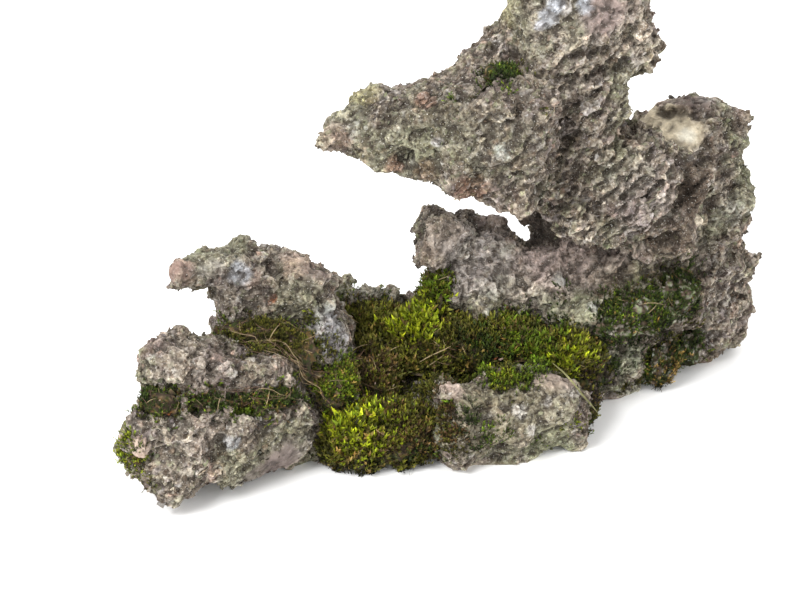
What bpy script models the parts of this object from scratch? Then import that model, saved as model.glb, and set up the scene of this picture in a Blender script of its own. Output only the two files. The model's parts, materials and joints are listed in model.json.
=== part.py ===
"""Mossy rock: one weathered stone with overhangs and clefts, and the moss cushions that grow on it.

The stone is a union of boulders, fused by a voxel remesh, roughened by displacement and cut flat below, where it
rests. Each moss cushion is a chain of soft mounds, cut away where the stone is. Sizes are in millimetres.
+X runs along the stone's length, +Y to its back and +Z up. The origin is on the flat foot, under the middle.
"""

import math

import bmesh
import bpy
from mathutils import Euler, Matrix, Vector

MM = 0.001

# The stone as a whole.
FUSE_VOXEL = 3.0
WEATHER_VOXEL = 2.2
STONE_FACES = 6600
GROUND_DEPTH = 60.0
GROUND_REACH = 900.0

# Each boulder: its name, centre, size, turn about X, Y and Z in degrees, and how much its -X end narrows in Y and Z.
BOULDERS = (
    # The split block at the left end: a lower jaw, an upper jaw and what joins them behind the cleft.
    ("lower_jaw", (-82, -63, 29), (80, 44, 54), (-12, 0, 206), (0.85, 0.6)),
    ("jaw_chin", (-110, -82, 29), (27, 30, 50), (0, -30, 22), (0.8, 0.9)),
    ("upper_jaw", (-89, -62, 60), (66, 36, 20), (0, 17, 20), (0.9, 1.15)),
    ("jaw_back", (-78, -44, 38), (72, 32, 48), (0, 12, 22), (0.85, 0.9)),
    # The hooked boulder behind it, with its nose over the hollow.
    ("hook_foot", (-60, -14, 40), (60, 50, 70), (0, -4, 14), (0.9, 1.0)),
    ("hook_body", (-67, -14, 74), (50, 36, 38), (0, 23, 10), (0.9, 1.0)),
    ("hook_nose", (-89, -22, 95), (42, 28, 16), (0, -12, 12), (0.6, 0.6)),
    ("hook_crest", (-46, -12, 80), (34, 34, 25), (0, 38, 8), (0.9, 0.9)),
    ("hook_flank", (-33, -21, 42), (18, 42, 62), (10, -14, 0), (1.0, 1.0)),
    # The low ridge behind the moss bed.
    ("back_ridge", (-12, 34, 26), (52, 28, 46), (0, 4, 12), (0.9, 1.0)),
    # The long base under everything.
    ("base_left", (-66, -26, 15), (84, 64, 36), (0, 0, 22), (0.8, 0.9)),
    ("base_middle", (8, 8, 10), (112, 78, 28), (0, 0, 8), (0.9, 1.0)),
    ("base_right", (80, 30, 18), (88, 76, 46), (0, 0, 30), (0.9, 0.9)),
    # The front stone in the moss.
    ("front_block", (54, -37, 18), (72, 40, 46), (-14, 4, 190), (0.6, 0.8)),
    # The middle knob and the wall to its right.
    ("middle_knob", (22, 29, 86), (29, 32, 27), (0, 10, 0), (0.9, 0.9)),
    ("middle_ridge", (46, 33, 65), (46, 30, 34), (0, 34, 0), (1.0, 1.0)),
    ("second_knob", (46, 32, 79), (21, 24, 20), (0, 14, 0), (0.9, 0.9)),
    ("third_knob", (61, 32, 66), (17, 22, 18), (0, 20, 0), (0.9, 0.9)),
    ("middle_wall", (48, 33, 37), (68, 40, 66), (12, 6, 6), (0.8, 1.0)),
    # The core that carries the upper mass.
    ("core", (110, 50, 60), (78, 54, 92), (6, 0, 12), (0.9, 1.0)),
    ("right_slope", (112, 35, 32), (80, 46, 70), (16, 0, 36), (0.8, 1.0)),
    # The upper mass: the belly, its root, the neck, the head and the long spur to the left.
    ("belly", (112, 12, 120), (62, 54, 54), (0, 22, 10), (0.9, 1.0)),
    ("root", (91, 10, 126), (48, 50, 44), (0, 20, 0), (0.8, 1.0)),
    ("neck", (81, 12, 158), (42, 48, 64), (0, 12, 4), (1.0, 1.0)),
    ("nape", (81, 38, 158), (39, 42, 78), (-8, 0, 10), (0.9, 1.0)),
    ("head", (84, 22, 201), (62, 58, 46), (4, -6, 10), (0.85, 0.9)),
    ("jowl", (104, 16, 193), (32, 42, 30), (0, -10, 0), (0.9, 0.9)),
    ("crown", (78, 24, 220), (50, 42, 24), (0, 8, 24), (0.9, 0.8)),
    ("hackle", (45, 20, 185), (26, 34, 24), (0, -20, 0), (0.8, 0.8)),
    ("spur", (24, -18, 162), (92, 48, 62), (0, 4, 3), (0.5, 0.36)),
    ("spur_tip", (-15, -18, 165), (46, 30, 25), (0, -7, 3), (0.35, 0.35)),
    ("spur_brow", (-12, -8, 170), (23, 26, 14), (0, -14, 0), (0.9, 0.9)),
    ("spur_shoulder", (28, 4, 171), (96, 40, 32), (0, -19, 8), (0.6, 0.7)),
    ("spur_keel", (42, -22, 150), (44, 38, 42), (0, 15, 6), (0.9, 0.7)),
    # The right end behind the belly.
    ("right_peak", (150, 68, 75), (55, 52, 136), (4, 0, 14), (0.9, 1.0)),
    ("right_end", (160, 68, 32), (46, 50, 66), (0, 0, 34), (1.0, 1.0)),
)
BOULDER_ROUND = 0.45
BALL_RADIUS = 0.62

# Each layer of weathering: its texture, the size of its lumps and how far it lifts or lowers the surface.
WEATHERING = (
    ("CLOUDS", 24.0, 15.0),
    ("VORONOI", 15.0, 9.0),
)

# Each moss cushion: its name, its share of faces, and its mounds, each with a centre and three radii. The mounds
# reach the moss's tips, and the stone takes its place inside them.
CUSHIONS = (
    ("moss_bed", 800, (
        ((-16, 18, 32), (26, 24, 21)),
        ((14, 10, 32), (34, 26, 20)),
        ((50, 4, 35), (32, 20, 17)),
        ((82, -2, 32), (24, 18, 18)),
        ((-19, -14, 28), (22, 26, 19)),
        ((-20, -46, 11), (24, 20, 21)),
        ((2, -44, 13), (22, 19, 19)),
        ((22, -39, 11), (12, 13, 17)),
        ((18, 23, 52), (11, 12, 12)),
        ((19, 17, 63), (8, 10, 12)),
    )),
    ("moss_cleft", 260, (
        ((-109, -80, 55), (13, 14, 8)),
        ((-88, -74, 53), (20, 14, 8)),
        ((-64, -65, 48), (18, 13, 8)),
    )),
    ("moss_hook", 360, (
        ((-80, -37, 62), (12, 12, 12)),
        ((-66, -39, 62), (18, 12, 15)),
        ((-46, -40, 55), (18, 12, 15)),
        ((-32, -44, 42), (13, 12, 15)),
    )),
    ("moss_slope", 260, (
        ((108, 2, 49), (14, 12, 14)),
        ((124, 10, 52), (18, 12, 15)),
        ((142, 22, 55), (14, 12, 17)),
    )),
    ("moss_foot", 130, (
        ((136, 25, 14), (13, 11, 15)),
        ((150, 41, 17), (12, 11, 15)),
    )),
    ("moss_corner", 130, (
        ((84, -32, 13), (10, 10, 14)),
        ((92, -17, 12), (10, 11, 14)),
    )),
    ("moss_rim", 80, (
        ((-120, -91, 38), (7, 9, 13)),
    )),
    ("moss_ledge", 80, (
        ((48, -8, 184), (12, 10, 9)),
    )),
)
MOSS_VOXEL = 2.4
MOSS_TUFTS = (("CLOUDS", 9.0, 4.0),)
MOSS_GAP = 0.4
MOSS_OFF_GROUND = 1.0

# Corners of a cut that are closer than this are one.
WELD = 0.02


# Each finish: its colour, how rough it is, and how much of a metal it is. Edges over this angle stay sharp.
SHARP_ABOVE = 50.0
STONE_FINISH = ((0.21, 0.195, 0.175, 1.0), 0.92, 0.0)
MOSS_FINISH = ((0.075, 0.12, 0.018, 1.0), 0.95, 0.0)


def clear_scene():
    """Removes whatever the file holds."""
    for obj in list(bpy.data.objects):
        bpy.data.objects.remove(obj)


def new_collection(name):
    """A collection of that name in the scene."""
    made = bpy.data.collections.new(name)
    bpy.context.scene.collection.children.link(made)
    return made


def add_mesh(name, bm, collection):
    """A mesh object made from bm, which is freed."""
    mesh = bpy.data.meshes.new(name)
    bm.to_mesh(mesh)
    bm.free()
    obj = bpy.data.objects.new(name, mesh)
    collection.objects.link(obj)
    return obj


def dress(obj, finish):
    """Gives obj a material of its own in that finish, and shades its round forms smooth."""
    colour, roughness, metallic = finish
    material = bpy.data.materials.new(obj.name)
    material.use_nodes = True
    shader = material.node_tree.nodes["Principled BSDF"]
    shader.inputs["Base Color"].default_value = colour
    shader.inputs["Roughness"].default_value = roughness
    shader.inputs["Metallic"].default_value = metallic
    obj.data.materials.clear()
    obj.data.materials.append(material)
    obj.data.shade_smooth()
    obj.data.set_sharp_from_angle(angle=math.radians(SHARP_ABOVE))


def settle(obj):
    """Applies the object's modifiers."""
    bpy.context.view_layer.update()
    graph = bpy.context.evaluated_depsgraph_get()
    mesh = bpy.data.meshes.new_from_object(obj.evaluated_get(graph))
    obj.modifiers.clear()
    obj.data = mesh


def boulder(bm, centre, size, turn, narrow):
    """Adds a rounded block to bm, narrowed towards its -X end."""
    made = bmesh.ops.create_cube(bm, size=1.0)
    edges = list({edge for vert in made["verts"] for edge in vert.link_edges})
    bmesh.ops.subdivide_edges(bm, edges=edges, cuts=3, use_grid_fill=True)
    bm.verts.ensure_lookup_table()
    verts = [vert for vert in bm.verts if vert.tag is False]
    place = Matrix.Translation(Vector(centre) * MM)
    place @= Euler([math.radians(angle) for angle in turn]).to_matrix().to_4x4()
    for vert in verts:
        ball = vert.co.normalized() * BALL_RADIUS
        vert.co = vert.co.lerp(ball, BOULDER_ROUND)
        along = min(max(vert.co.x + 0.5, 0.0), 1.0)
        vert.co.y *= narrow[0] + (1.0 - narrow[0]) * along
        vert.co.z *= narrow[1] + (1.0 - narrow[1]) * along
        vert.co = place @ Vector(c * s * MM for c, s in zip(vert.co, size))
        vert.tag = True


def remesh(obj, voxel):
    """Fuses what overlaps in obj into one closed skin."""
    modifier = obj.modifiers.new("fuse", "REMESH")
    modifier.mode = "VOXEL"
    modifier.voxel_size = voxel * MM
    settle(obj)


def weather(obj, layers):
    """Roughens obj by one displacement for each layer."""
    for kind, lump, height in layers:
        texture = bpy.data.textures.new(f"{kind.lower()}_{lump:g}", kind)
        texture.noise_scale = lump * MM
        modifier = obj.modifiers.new(texture.name, "DISPLACE")
        modifier.texture = texture
        modifier.texture_coords = "GLOBAL"
        modifier.strength = height * MM
        modifier.mid_level = 0.5
    settle(obj)


def thin_out(obj, faces):
    """Collapses edges until obj has about that many triangles."""
    modifier = obj.modifiers.new("thin", "DECIMATE")
    modifier.ratio = faces / (2 * len(obj.data.polygons))
    modifier.use_collapse_triangulate = True
    settle(obj)


def cut_away(obj, cutter):
    """Takes the cutter's space out of obj."""
    modifier = obj.modifiers.new("cut", "BOOLEAN")
    modifier.operation = "DIFFERENCE"
    modifier.object = cutter
    settle(obj)


def helper(obj):
    """Marks obj as a cutter, which isn't part of the object."""
    obj.hide_render = True
    obj.display_type = "WIRE"
    return obj


def ground(name, top, helpers):
    """A wide block whose top is at that height, which cuts things flat."""
    bm = bmesh.new()
    bmesh.ops.create_cube(bm, size=1.0, matrix=Matrix.Diagonal((GROUND_REACH, GROUND_REACH, GROUND_DEPTH, 1)))
    bmesh.ops.translate(bm, verts=bm.verts, vec=(0, 0, top - GROUND_DEPTH / 2))
    bmesh.ops.scale(bm, verts=bm.verts, vec=(MM, MM, MM))
    return helper(add_mesh(name, bm, helpers))


def keep_largest(obj):
    """Deletes every loose piece of obj but the one with the most faces."""
    bm = bmesh.new()
    bm.from_mesh(obj.data)
    bmesh.ops.remove_doubles(bm, verts=bm.verts, dist=WELD * MM)
    unseen = set(bm.faces)
    pieces = []
    while unseen:
        piece = []
        waiting = [unseen.pop()]
        while waiting:
            face = waiting.pop()
            piece.append(face)
            beside = {other for edge in face.edges for other in edge.link_faces} & unseen
            unseen -= beside
            waiting.extend(beside)
        pieces.append(piece)
    pieces.sort(key=len)
    loose = [face for piece in pieces[:-1] for face in piece]
    bmesh.ops.delete(bm, geom=loose, context="FACES")
    bmesh.ops.triangulate(bm, faces=bm.faces)
    bm.to_mesh(obj.data)
    bm.free()


def make_rock(collection, helpers):
    """The stone: fused boulders, weathered and cut flat below."""
    bm = bmesh.new()
    for _, centre, size, turn, narrow in BOULDERS:
        boulder(bm, centre, size, turn, narrow)
    rock = add_mesh("rock", bm, collection)
    remesh(rock, FUSE_VOXEL)
    weather(rock, WEATHERING)
    remesh(rock, WEATHER_VOXEL)
    thin_out(rock, STONE_FACES)
    cut_away(rock, ground("ground", 0.0, helpers))
    keep_largest(rock)
    dress(rock, STONE_FINISH)
    return rock


def grown(obj, helpers):
    """A copy of obj with its skin moved out by the moss gap, to cut the moss beside it with."""
    copy = bpy.data.objects.new("grown_" + obj.name, obj.data.copy())
    helpers.objects.link(copy)
    modifier = copy.modifiers.new("grow", "DISPLACE")
    modifier.strength = MOSS_GAP * MM
    modifier.mid_level = 0.0
    settle(copy)
    return helper(copy)


def make_cushion(name, faces, mounds, collection, cutters):
    """A moss cushion: fused mounds, made uneven, less the space of the cutters."""
    bm = bmesh.new()
    for centre, radii in mounds:
        place = Matrix.Translation(Vector(centre) * MM) @ Matrix.Diagonal((*(Vector(radii) * MM), 1))
        bmesh.ops.create_icosphere(bm, subdivisions=3, radius=1.0, matrix=place)
    cushion = add_mesh(name, bm, collection)
    remesh(cushion, MOSS_VOXEL)
    weather(cushion, MOSS_TUFTS)
    remesh(cushion, MOSS_VOXEL)
    thin_out(cushion, faces)
    for cutter in cutters:
        cut_away(cushion, cutter)
    keep_largest(cushion)
    dress(cushion, MOSS_FINISH)
    return cushion


def main():
    """Builds the stone and its moss."""
    clear_scene()
    collection = new_collection("mossy_rock")
    helpers = new_collection("cutters")
    rock = make_rock(collection, helpers)
    cutters = [grown(rock, helpers), ground("moss_ground", MOSS_OFF_GROUND, helpers)]
    for name, faces, mounds in CUSHIONS:
        cushion = make_cushion(name, faces, mounds, collection, cutters)
        cutters.append(grown(cushion, helpers))


if __name__ == "__main__":
    main()
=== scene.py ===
"""Mossy rock: the grained stone, the moss that grows in its clefts, and the dry litter that lies in the moss.

Lengths are in millimetres in this file, and are turned into metres where a mesh is made. +X runs along the
stone, +Y to its back and +Z up.
"""

import json
import logging
import math
from dataclasses import dataclass, field
from enum import Enum
from typing import Optional

import bmesh
import bpy
import numpy as np
from mathutils import Matrix, Vector
from mathutils.bvhtree import BVHTree
from mathutils.kdtree import KDTree

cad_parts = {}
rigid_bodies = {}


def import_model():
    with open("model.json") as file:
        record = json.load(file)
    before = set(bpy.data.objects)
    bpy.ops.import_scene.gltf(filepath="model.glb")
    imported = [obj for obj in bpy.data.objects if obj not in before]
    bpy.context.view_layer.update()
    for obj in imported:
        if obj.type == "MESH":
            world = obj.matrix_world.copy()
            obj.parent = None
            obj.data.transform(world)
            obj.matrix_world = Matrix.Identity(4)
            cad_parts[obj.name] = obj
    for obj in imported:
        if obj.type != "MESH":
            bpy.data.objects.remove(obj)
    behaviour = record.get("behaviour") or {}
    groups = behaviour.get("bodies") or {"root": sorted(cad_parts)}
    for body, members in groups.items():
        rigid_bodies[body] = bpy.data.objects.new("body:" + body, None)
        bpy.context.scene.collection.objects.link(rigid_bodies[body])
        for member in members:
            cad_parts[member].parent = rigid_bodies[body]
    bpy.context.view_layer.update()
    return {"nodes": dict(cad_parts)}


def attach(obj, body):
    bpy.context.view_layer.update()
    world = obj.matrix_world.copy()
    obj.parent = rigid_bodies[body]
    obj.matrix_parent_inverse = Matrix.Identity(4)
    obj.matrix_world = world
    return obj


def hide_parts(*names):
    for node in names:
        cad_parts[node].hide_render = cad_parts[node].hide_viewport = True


MM = 0.001
TINY = 1e-9
Colour = tuple[float, float, float]
Shares = tuple[tuple[Colour, float], ...]
Stops = tuple[tuple[float, Colour], ...]
Route = tuple[tuple[float, float], ...]
Array = np.ndarray
Generator = np.random.Generator
Material = bpy.types.Material
Object = bpy.types.Object
Socket = bpy.types.NodeSocket

# Odd numbers that scramble a lattice point, a seed and a channel into a random number of 32 bits
LATTICE_FACTORS = (374761393, 668265263, 1274126177)
CHANNEL_FACTOR = 974634777
SCRAMBLE_FACTORS = (1103515245, 2654435769)
LOW_32_BITS = 0xFFFFFFFF
LOW_24_BITS = 0xFFFFFF

# The way across the stone's ledges and flakes
LEDGE_LEAN = (-0.62, -0.22, 0.75)
log = logging.getLogger("mossy_rock")


class Side(Enum):
    """The two halves that the stone's skin and its loose grains are made in."""

    LEFT = "left"
    RIGHT = "right"


class Growth(Enum):
    """How tall a patch of moss is, in millimetres."""

    TALL = 9.8
    MIDDLE = 6.5
    SHORT = 4.8


# Random fields in space


@dataclass(frozen=True)
class RandomField:
    """A random field in space that repeats from run to run.

    Attributes:
        seed: sets one field apart from another.
    """

    seed: int

    def draw(self, lattice: Array, channel: int = 0) -> Array:
        """Draws one number for each lattice point.

        Args:
            lattice: whole-numbered points, one a row.
            channel: gives further independent numbers for the same points.

        Returns:
            Numbers from 0 to 1.
        """
        whole = lattice.astype(np.int64)
        mixed = sum(whole[..., axis] * factor for axis, factor in enumerate(LATTICE_FACTORS))
        mixed = (mixed + (self.seed * 31 + channel) * CHANNEL_FACTOR) & LOW_32_BITS
        mixed = ((mixed ^ (mixed >> 13)) * SCRAMBLE_FACTORS[0]) & LOW_32_BITS
        mixed = ((mixed ^ (mixed >> 16)) * SCRAMBLE_FACTORS[1]) & LOW_32_BITS
        return ((mixed ^ (mixed >> 15)) & LOW_24_BITS) / float(LOW_24_BITS)

    def draw_for(self, numbers: Array) -> Array:
        """Draws a number from 0 to 1 for each whole number."""
        return self.draw(numbers[:, None] * np.array((1, 3, 7)))

    def smooth(self, points: Array) -> Array:
        """Blends the lattice's numbers smoothly between its points.

        Args:
            points: places in lattice units, one a row.

        Returns:
            Numbers from -1 to 1.
        """
        base = np.floor(points)
        part = points - base
        part = part * part * (3.0 - 2.0 * part)
        total = np.zeros(len(points))
        for corner in np.ndindex(2, 2, 2):
            step = np.array(corner)
            weight = np.where(step, part, 1.0 - part).prod(axis=1)
            total += weight * self.draw(base + step)
        return total * 2.0 - 1.0

    def fractal(self, points: Array, size: float, octaves: int = 3) -> Array:
        """Sums finer and finer smooth fields.

        Args:
            points: places in millimetres, one a row.
            size: the widest lump in millimetres.
            octaves: how many fields are summed.

        Returns:
            Numbers from about -1 to 1.
        """
        total = np.zeros(len(points))
        weight = 1.0
        for octave in range(octaves):
            total += weight * self.smooth(points / size * 2.0**octave + 17.3 * octave)
            weight *= 0.5
        return total / 1.6

    def cells(self, points: Array, size: float) -> tuple[Array, Array, Array]:
        """Finds the grain that each point is in, where grains are irregular cells.

        Args:
            points: places in millimetres, one a row.
            size: the grains' mean width in millimetres.

        Returns:
            How far each point is from its grain's border, the way from its grain's middle to it in
            millimetres, and its grain's lattice point.
        """
        scaled = points / size
        base = np.floor(scaled)
        nearest = np.full(len(points), 9.0)
        second = np.full(len(points), 9.0)
        arm = np.zeros((len(points), 3))
        owner = np.zeros((len(points), 3))
        for corner in np.ndindex(3, 3, 3):
            lattice = base + np.array(corner) - 1
            middle = lattice + np.stack([self.draw(lattice, channel) for channel in (1, 2, 3)], axis=1)
            away = scaled - middle
            distance = np.sqrt((away**2).sum(axis=1))
            closer = distance < nearest
            second = np.where(closer, nearest, np.minimum(second, distance))
            nearest = np.where(closer, distance, nearest)
            arm[closer] = away[closer]
            owner[closer] = lattice[closer]
        return second - nearest, arm * size, owner


def wander(points: Array, seed: int, size: float) -> Array:
    """Draws a smooth random way at each point.

    Args:
        points: places in millimetres, one a row.
        seed: sets one use apart from another.
        size: how far apart the ways change, in millimetres.

    Returns:
        One vector a row, each number from -1 to 1.
    """
    return np.stack([RandomField(seed + axis).smooth(points / size) for axis in range(3)], axis=1)


def pick_shades(shades: Shares, chance: Array) -> Array:
    """Gives each random number one of a few colours.

    Args:
        shades: the colours, and how common each is.
        chance: numbers from 0 to 1.

    Returns:
        One colour a row.
    """
    edges = np.cumsum([share for _, share in shades])
    picks = np.minimum(np.searchsorted(edges / edges[-1], chance), len(shades) - 1)
    return np.array([colour for colour, _ in shades])[picks]


# Meshes


def unit(rows: Array) -> Array:
    """Scales each row to a length of one."""
    return rows / np.maximum(np.linalg.norm(rows, axis=1, keepdims=True), TINY)


@dataclass
class Surface:
    """A mesh as arrays: its points in millimetres, its faces, and a colour for each point.

    Attributes:
        points: one point a row.
        faces: one triangle a row.
        tints: one colour a row, with how grained its surface is as the fourth number.
    """

    points: Array
    faces: Array
    tints: Array

    def middles(self) -> Array:
        """The middle of each face."""
        return self.points[self.faces].mean(axis=1)

    def across(self) -> Array:
        """The normal of each face, twice as long as the face's area."""
        corners = self.points[self.faces]
        return np.cross(corners[:, 1] - corners[:, 0], corners[:, 2] - corners[:, 0])

    def lift(self, level: float) -> None:
        """Raises the points that are lower than a level up to it."""
        self.points[:, 2] = np.maximum(self.points[:, 2], level)

    def part(self, kept: Array) -> "Surface":
        """Takes some of the faces out into a surface of their own.

        Args:
            kept: true for each face that is taken.

        Returns:
            The new surface.
        """
        used, faces = np.unique(self.faces[kept], return_inverse=True)
        return Surface(self.points[used], faces.reshape(-1, 3), self.tints[used])

    def to_piece(self, name: str, material: Material) -> Object:
        """Makes a mesh object of the surface, with flat shaded faces.

        Args:
            name: the piece's name.
            material: its material.

        Returns:
            The new object.
        """
        mesh = bpy.data.meshes.new(name)
        mesh.vertices.add(len(self.points))
        mesh.vertices.foreach_set("co", (self.points * MM).astype(np.float32).ravel())
        mesh.loops.add(self.faces.size)
        mesh.loops.foreach_set("vertex_index", self.faces.astype(np.int32).ravel())
        mesh.polygons.add(len(self.faces))
        mesh.polygons.foreach_set("loop_start", np.arange(0, self.faces.size, 3, dtype=np.int32))
        mesh.update(calc_edges=True)
        mesh.validate()
        tint = mesh.color_attributes.new("tint", "FLOAT_COLOR", "POINT")
        rgba = np.ones((len(mesh.vertices), 4), np.float32)
        rgba[:, : self.tints.shape[1]] = self.tints[: len(mesh.vertices)]
        tint.data.foreach_set("color", rgba.ravel())
        mesh.materials.append(material)
        mesh.polygons.foreach_set("use_smooth", np.zeros(len(mesh.polygons), bool))
        piece = bpy.data.objects.new(name, mesh)
        bpy.context.scene.collection.objects.link(piece)
        return piece


def read_surface(mesh: bpy.types.Mesh) -> Surface:
    """Reads a mesh into arrays.

    Args:
        mesh: any mesh.

    Returns:
        Its surface in millimetres, all white.
    """
    mesh.calc_loop_triangles()
    points = np.zeros(len(mesh.vertices) * 3, np.float32)
    mesh.vertices.foreach_get("co", points)
    faces = np.zeros(len(mesh.loop_triangles) * 3, np.int32)
    mesh.loop_triangles.foreach_get("vertices", faces)
    points = points.reshape(-1, 3).astype(float) / MM
    return Surface(points, faces.reshape(-1, 3), np.ones((len(points), 3)))


def point_normals(surface: Surface) -> Array:
    """Averages the faces' normals at each point.

    Args:
        surface: the surface.

    Returns:
        One unit normal a row.
    """
    across = surface.across()
    normals = np.zeros_like(surface.points)
    for corner in range(3):
        np.add.at(normals, surface.faces[:, corner], across)
    return unit(normals)


def hollowness(surface: Surface, rounds: int = 2) -> Array:
    """Finds how sunken each point is against its neighbours.

    Args:
        surface: the surface.
        rounds: how widely the answer is spread.

    Returns:
        Millimetres below the neighbours' mean, negative on a crest.
    """
    pairs = np.concatenate([surface.faces[:, [0, 1]], surface.faces[:, [1, 2]], surface.faces[:, [2, 0]]])
    count = np.bincount(pairs[:, 0], minlength=len(surface.points))[:, None] + TINY
    mean = surface.points
    for _ in range(rounds):
        total = np.zeros_like(surface.points)
        np.add.at(total, pairs[:, 0], mean[pairs[:, 1]])
        mean = total / count
    return ((mean - surface.points) * point_normals(surface)).sum(axis=1)


def apply_modifiers(obj: Object) -> None:
    """Turns an object's modifiers into its mesh.

    Args:
        obj: the object.
    """
    bpy.context.view_layer.update()
    graph = bpy.context.evaluated_depsgraph_get()
    mesh = bpy.data.meshes.new_from_object(obj.evaluated_get(graph))
    obj.modifiers.clear()
    obj.data = mesh


def remesh(obj: Object, voxel: float) -> None:
    """Gives an object an even closed skin.

    Args:
        obj: the object.
        voxel: the skin's spacing in millimetres.
    """
    modifier = obj.modifiers.new("skin", "REMESH")
    modifier.mode = "VOXEL"
    modifier.voxel_size = voxel * MM
    apply_modifiers(obj)


def thin_out(obj: Object, triangles: int) -> None:
    """Collapses edges until an object has about that many triangles.

    Args:
        obj: the object.
        triangles: the number to keep.
    """
    have = sum(len(face.vertices) - 2 for face in obj.data.polygons)
    if have > triangles:
        modifier = obj.modifiers.new("thin", "DECIMATE")
        modifier.ratio = triangles / have
        modifier.use_collapse_triangulate = True
        apply_modifiers(obj)


def push(obj: Object, offsets: Array) -> None:
    """Moves an object's points along their normals.

    Args:
        obj: the object.
        offsets: millimetres for each point.
    """
    surface = read_surface(obj.data)
    moved = surface.points + point_normals(surface) * offsets[:, None]
    obj.data.vertices.foreach_set("co", (moved * MM).astype(np.float32).ravel())
    obj.data.update()


def scratch_copy(node: Object, name: str) -> Object:
    """Copies a solid into an object of its own.

    Args:
        node: the solid.
        name: the copy's name.

    Returns:
        The copy, linked to the scene.
    """
    copy = bpy.data.objects.new(name, node.data.copy())
    bpy.context.scene.collection.objects.link(copy)
    return copy


def tree_of(solids: list[Object]) -> BVHTree:
    """Makes one search tree of several solids.

    Args:
        solids: the solids.

    Returns:
        Their search tree, in metres.
    """
    joined = bmesh.new()
    for solid in solids:
        joined.from_mesh(solid.data)
    tree = BVHTree.FromBMesh(joined)
    joined.free()
    return tree


def turns(rng: Generator, axes: Array) -> Array:
    """Makes turned frames whose third axis is given.

    Args:
        rng: the random source.
        axes: one unit vector a row.

    Returns:
        One 3 by 3 matrix each, with the frame's axes as its columns.
    """
    helper = rng.normal(size=axes.shape)
    first = unit(np.cross(axes, helper))
    second = np.cross(axes, first)
    return np.stack([first, second, axes], axis=2)


def scatter(shapes: list[Surface], picks: Array, places: Array, frames: Array,
            sizes: Array, tints: Array) -> Surface:
    """Joins many small copies of a few shapes into one surface.

    Args:
        shapes: the shapes, whose tints multiply the copy's.
        picks: which shape each copy takes.
        places: each copy's place in millimetres.
        frames: each copy's 3 by 3 turn.
        sizes: each copy's size along its three axes.
        tints: each copy's colour.

    Returns:
        The joined surface.
    """
    points, faces, colours = [], [], []
    start = 0
    for index, shape in enumerate(shapes):
        chosen = np.nonzero(picks == index)[0]
        if len(chosen) == 0:
            continue
        local = shape.points[None] * sizes[chosen][:, None, :]
        world = np.einsum("nij,nkj->nki", frames[chosen], local) + places[chosen][:, None, :]
        count = len(shape.points)
        shift = start + count * np.arange(len(chosen))
        points.append(world.reshape(-1, 3))
        faces.append((shape.faces[None] + shift[:, None, None]).reshape(-1, 3))
        colours.append((shape.tints[None] * tints[chosen][:, None, :]).reshape(-1, 3))
        start += count * len(chosen)
    return Surface(np.concatenate(points), np.concatenate(faces), np.concatenate(colours))


def join(parts: list[Surface]) -> Surface:
    """Joins surfaces into one.

    Args:
        parts: the surfaces.

    Returns:
        The joined surface.
    """
    shifts = np.cumsum([0] + [len(part.points) for part in parts[:-1]])
    faces = np.concatenate([part.faces + shift for part, shift in zip(parts, shifts)])
    return Surface(np.concatenate([p.points for p in parts]), faces, np.concatenate([p.tints for p in parts]))


def is_inside(tree: BVHTree, place: Array, depth: float = 0.3) -> bool:
    """Tells whether a place is inside a closed mesh.

    Args:
        tree: the mesh's search tree.
        place: the place in millimetres.
        depth: how deep inside it has to be, in millimetres.

    Returns:
        True inside.
    """
    spot = Vector(place) * MM
    near, normal, _, distance = tree.find_nearest(spot, 0.02)
    if near is None:
        return False
    return (spot - near).dot(normal) < 0.0 and distance > depth * MM


def sample_faces(surface: Surface, rng: Generator, count: int, weights: Array) -> tuple[Array, Array]:
    """Picks places spread over a surface.

    Args:
        surface: the surface.
        rng: the random source.
        count: how many places.
        weights: how likely each face is, besides its area.

    Returns:
        The places, and the face normals there.
    """
    across = surface.across()
    area = np.linalg.norm(across, axis=1)
    share = area * weights
    picks = rng.choice(len(area), size=count, p=share / share.sum())
    a, b = rng.random(count), rng.random(count)
    flip = a + b > 1.0
    a[flip], b[flip] = 1.0 - a[flip], 1.0 - b[flip]
    spots = surface.points[surface.faces[picks]]
    places = spots[:, 0] + a[:, None] * (spots[:, 1] - spots[:, 0]) + b[:, None] * (spots[:, 2] - spots[:, 0])
    return places, unit(across[picks])


def nearest_of(middles: Array, points: Array) -> Array:
    """Finds which of some middles is nearest to each point.

    Args:
        middles: the middles, one a row.
        points: the points, one a row.

    Returns:
        The number of the nearest middle for each point.
    """
    tree = KDTree(len(middles))
    for index, middle in enumerate(middles):
        tree.insert(middle, index)
    tree.balance()
    return np.array([tree.find(point)[1] for point in points])


# Finishes


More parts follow.
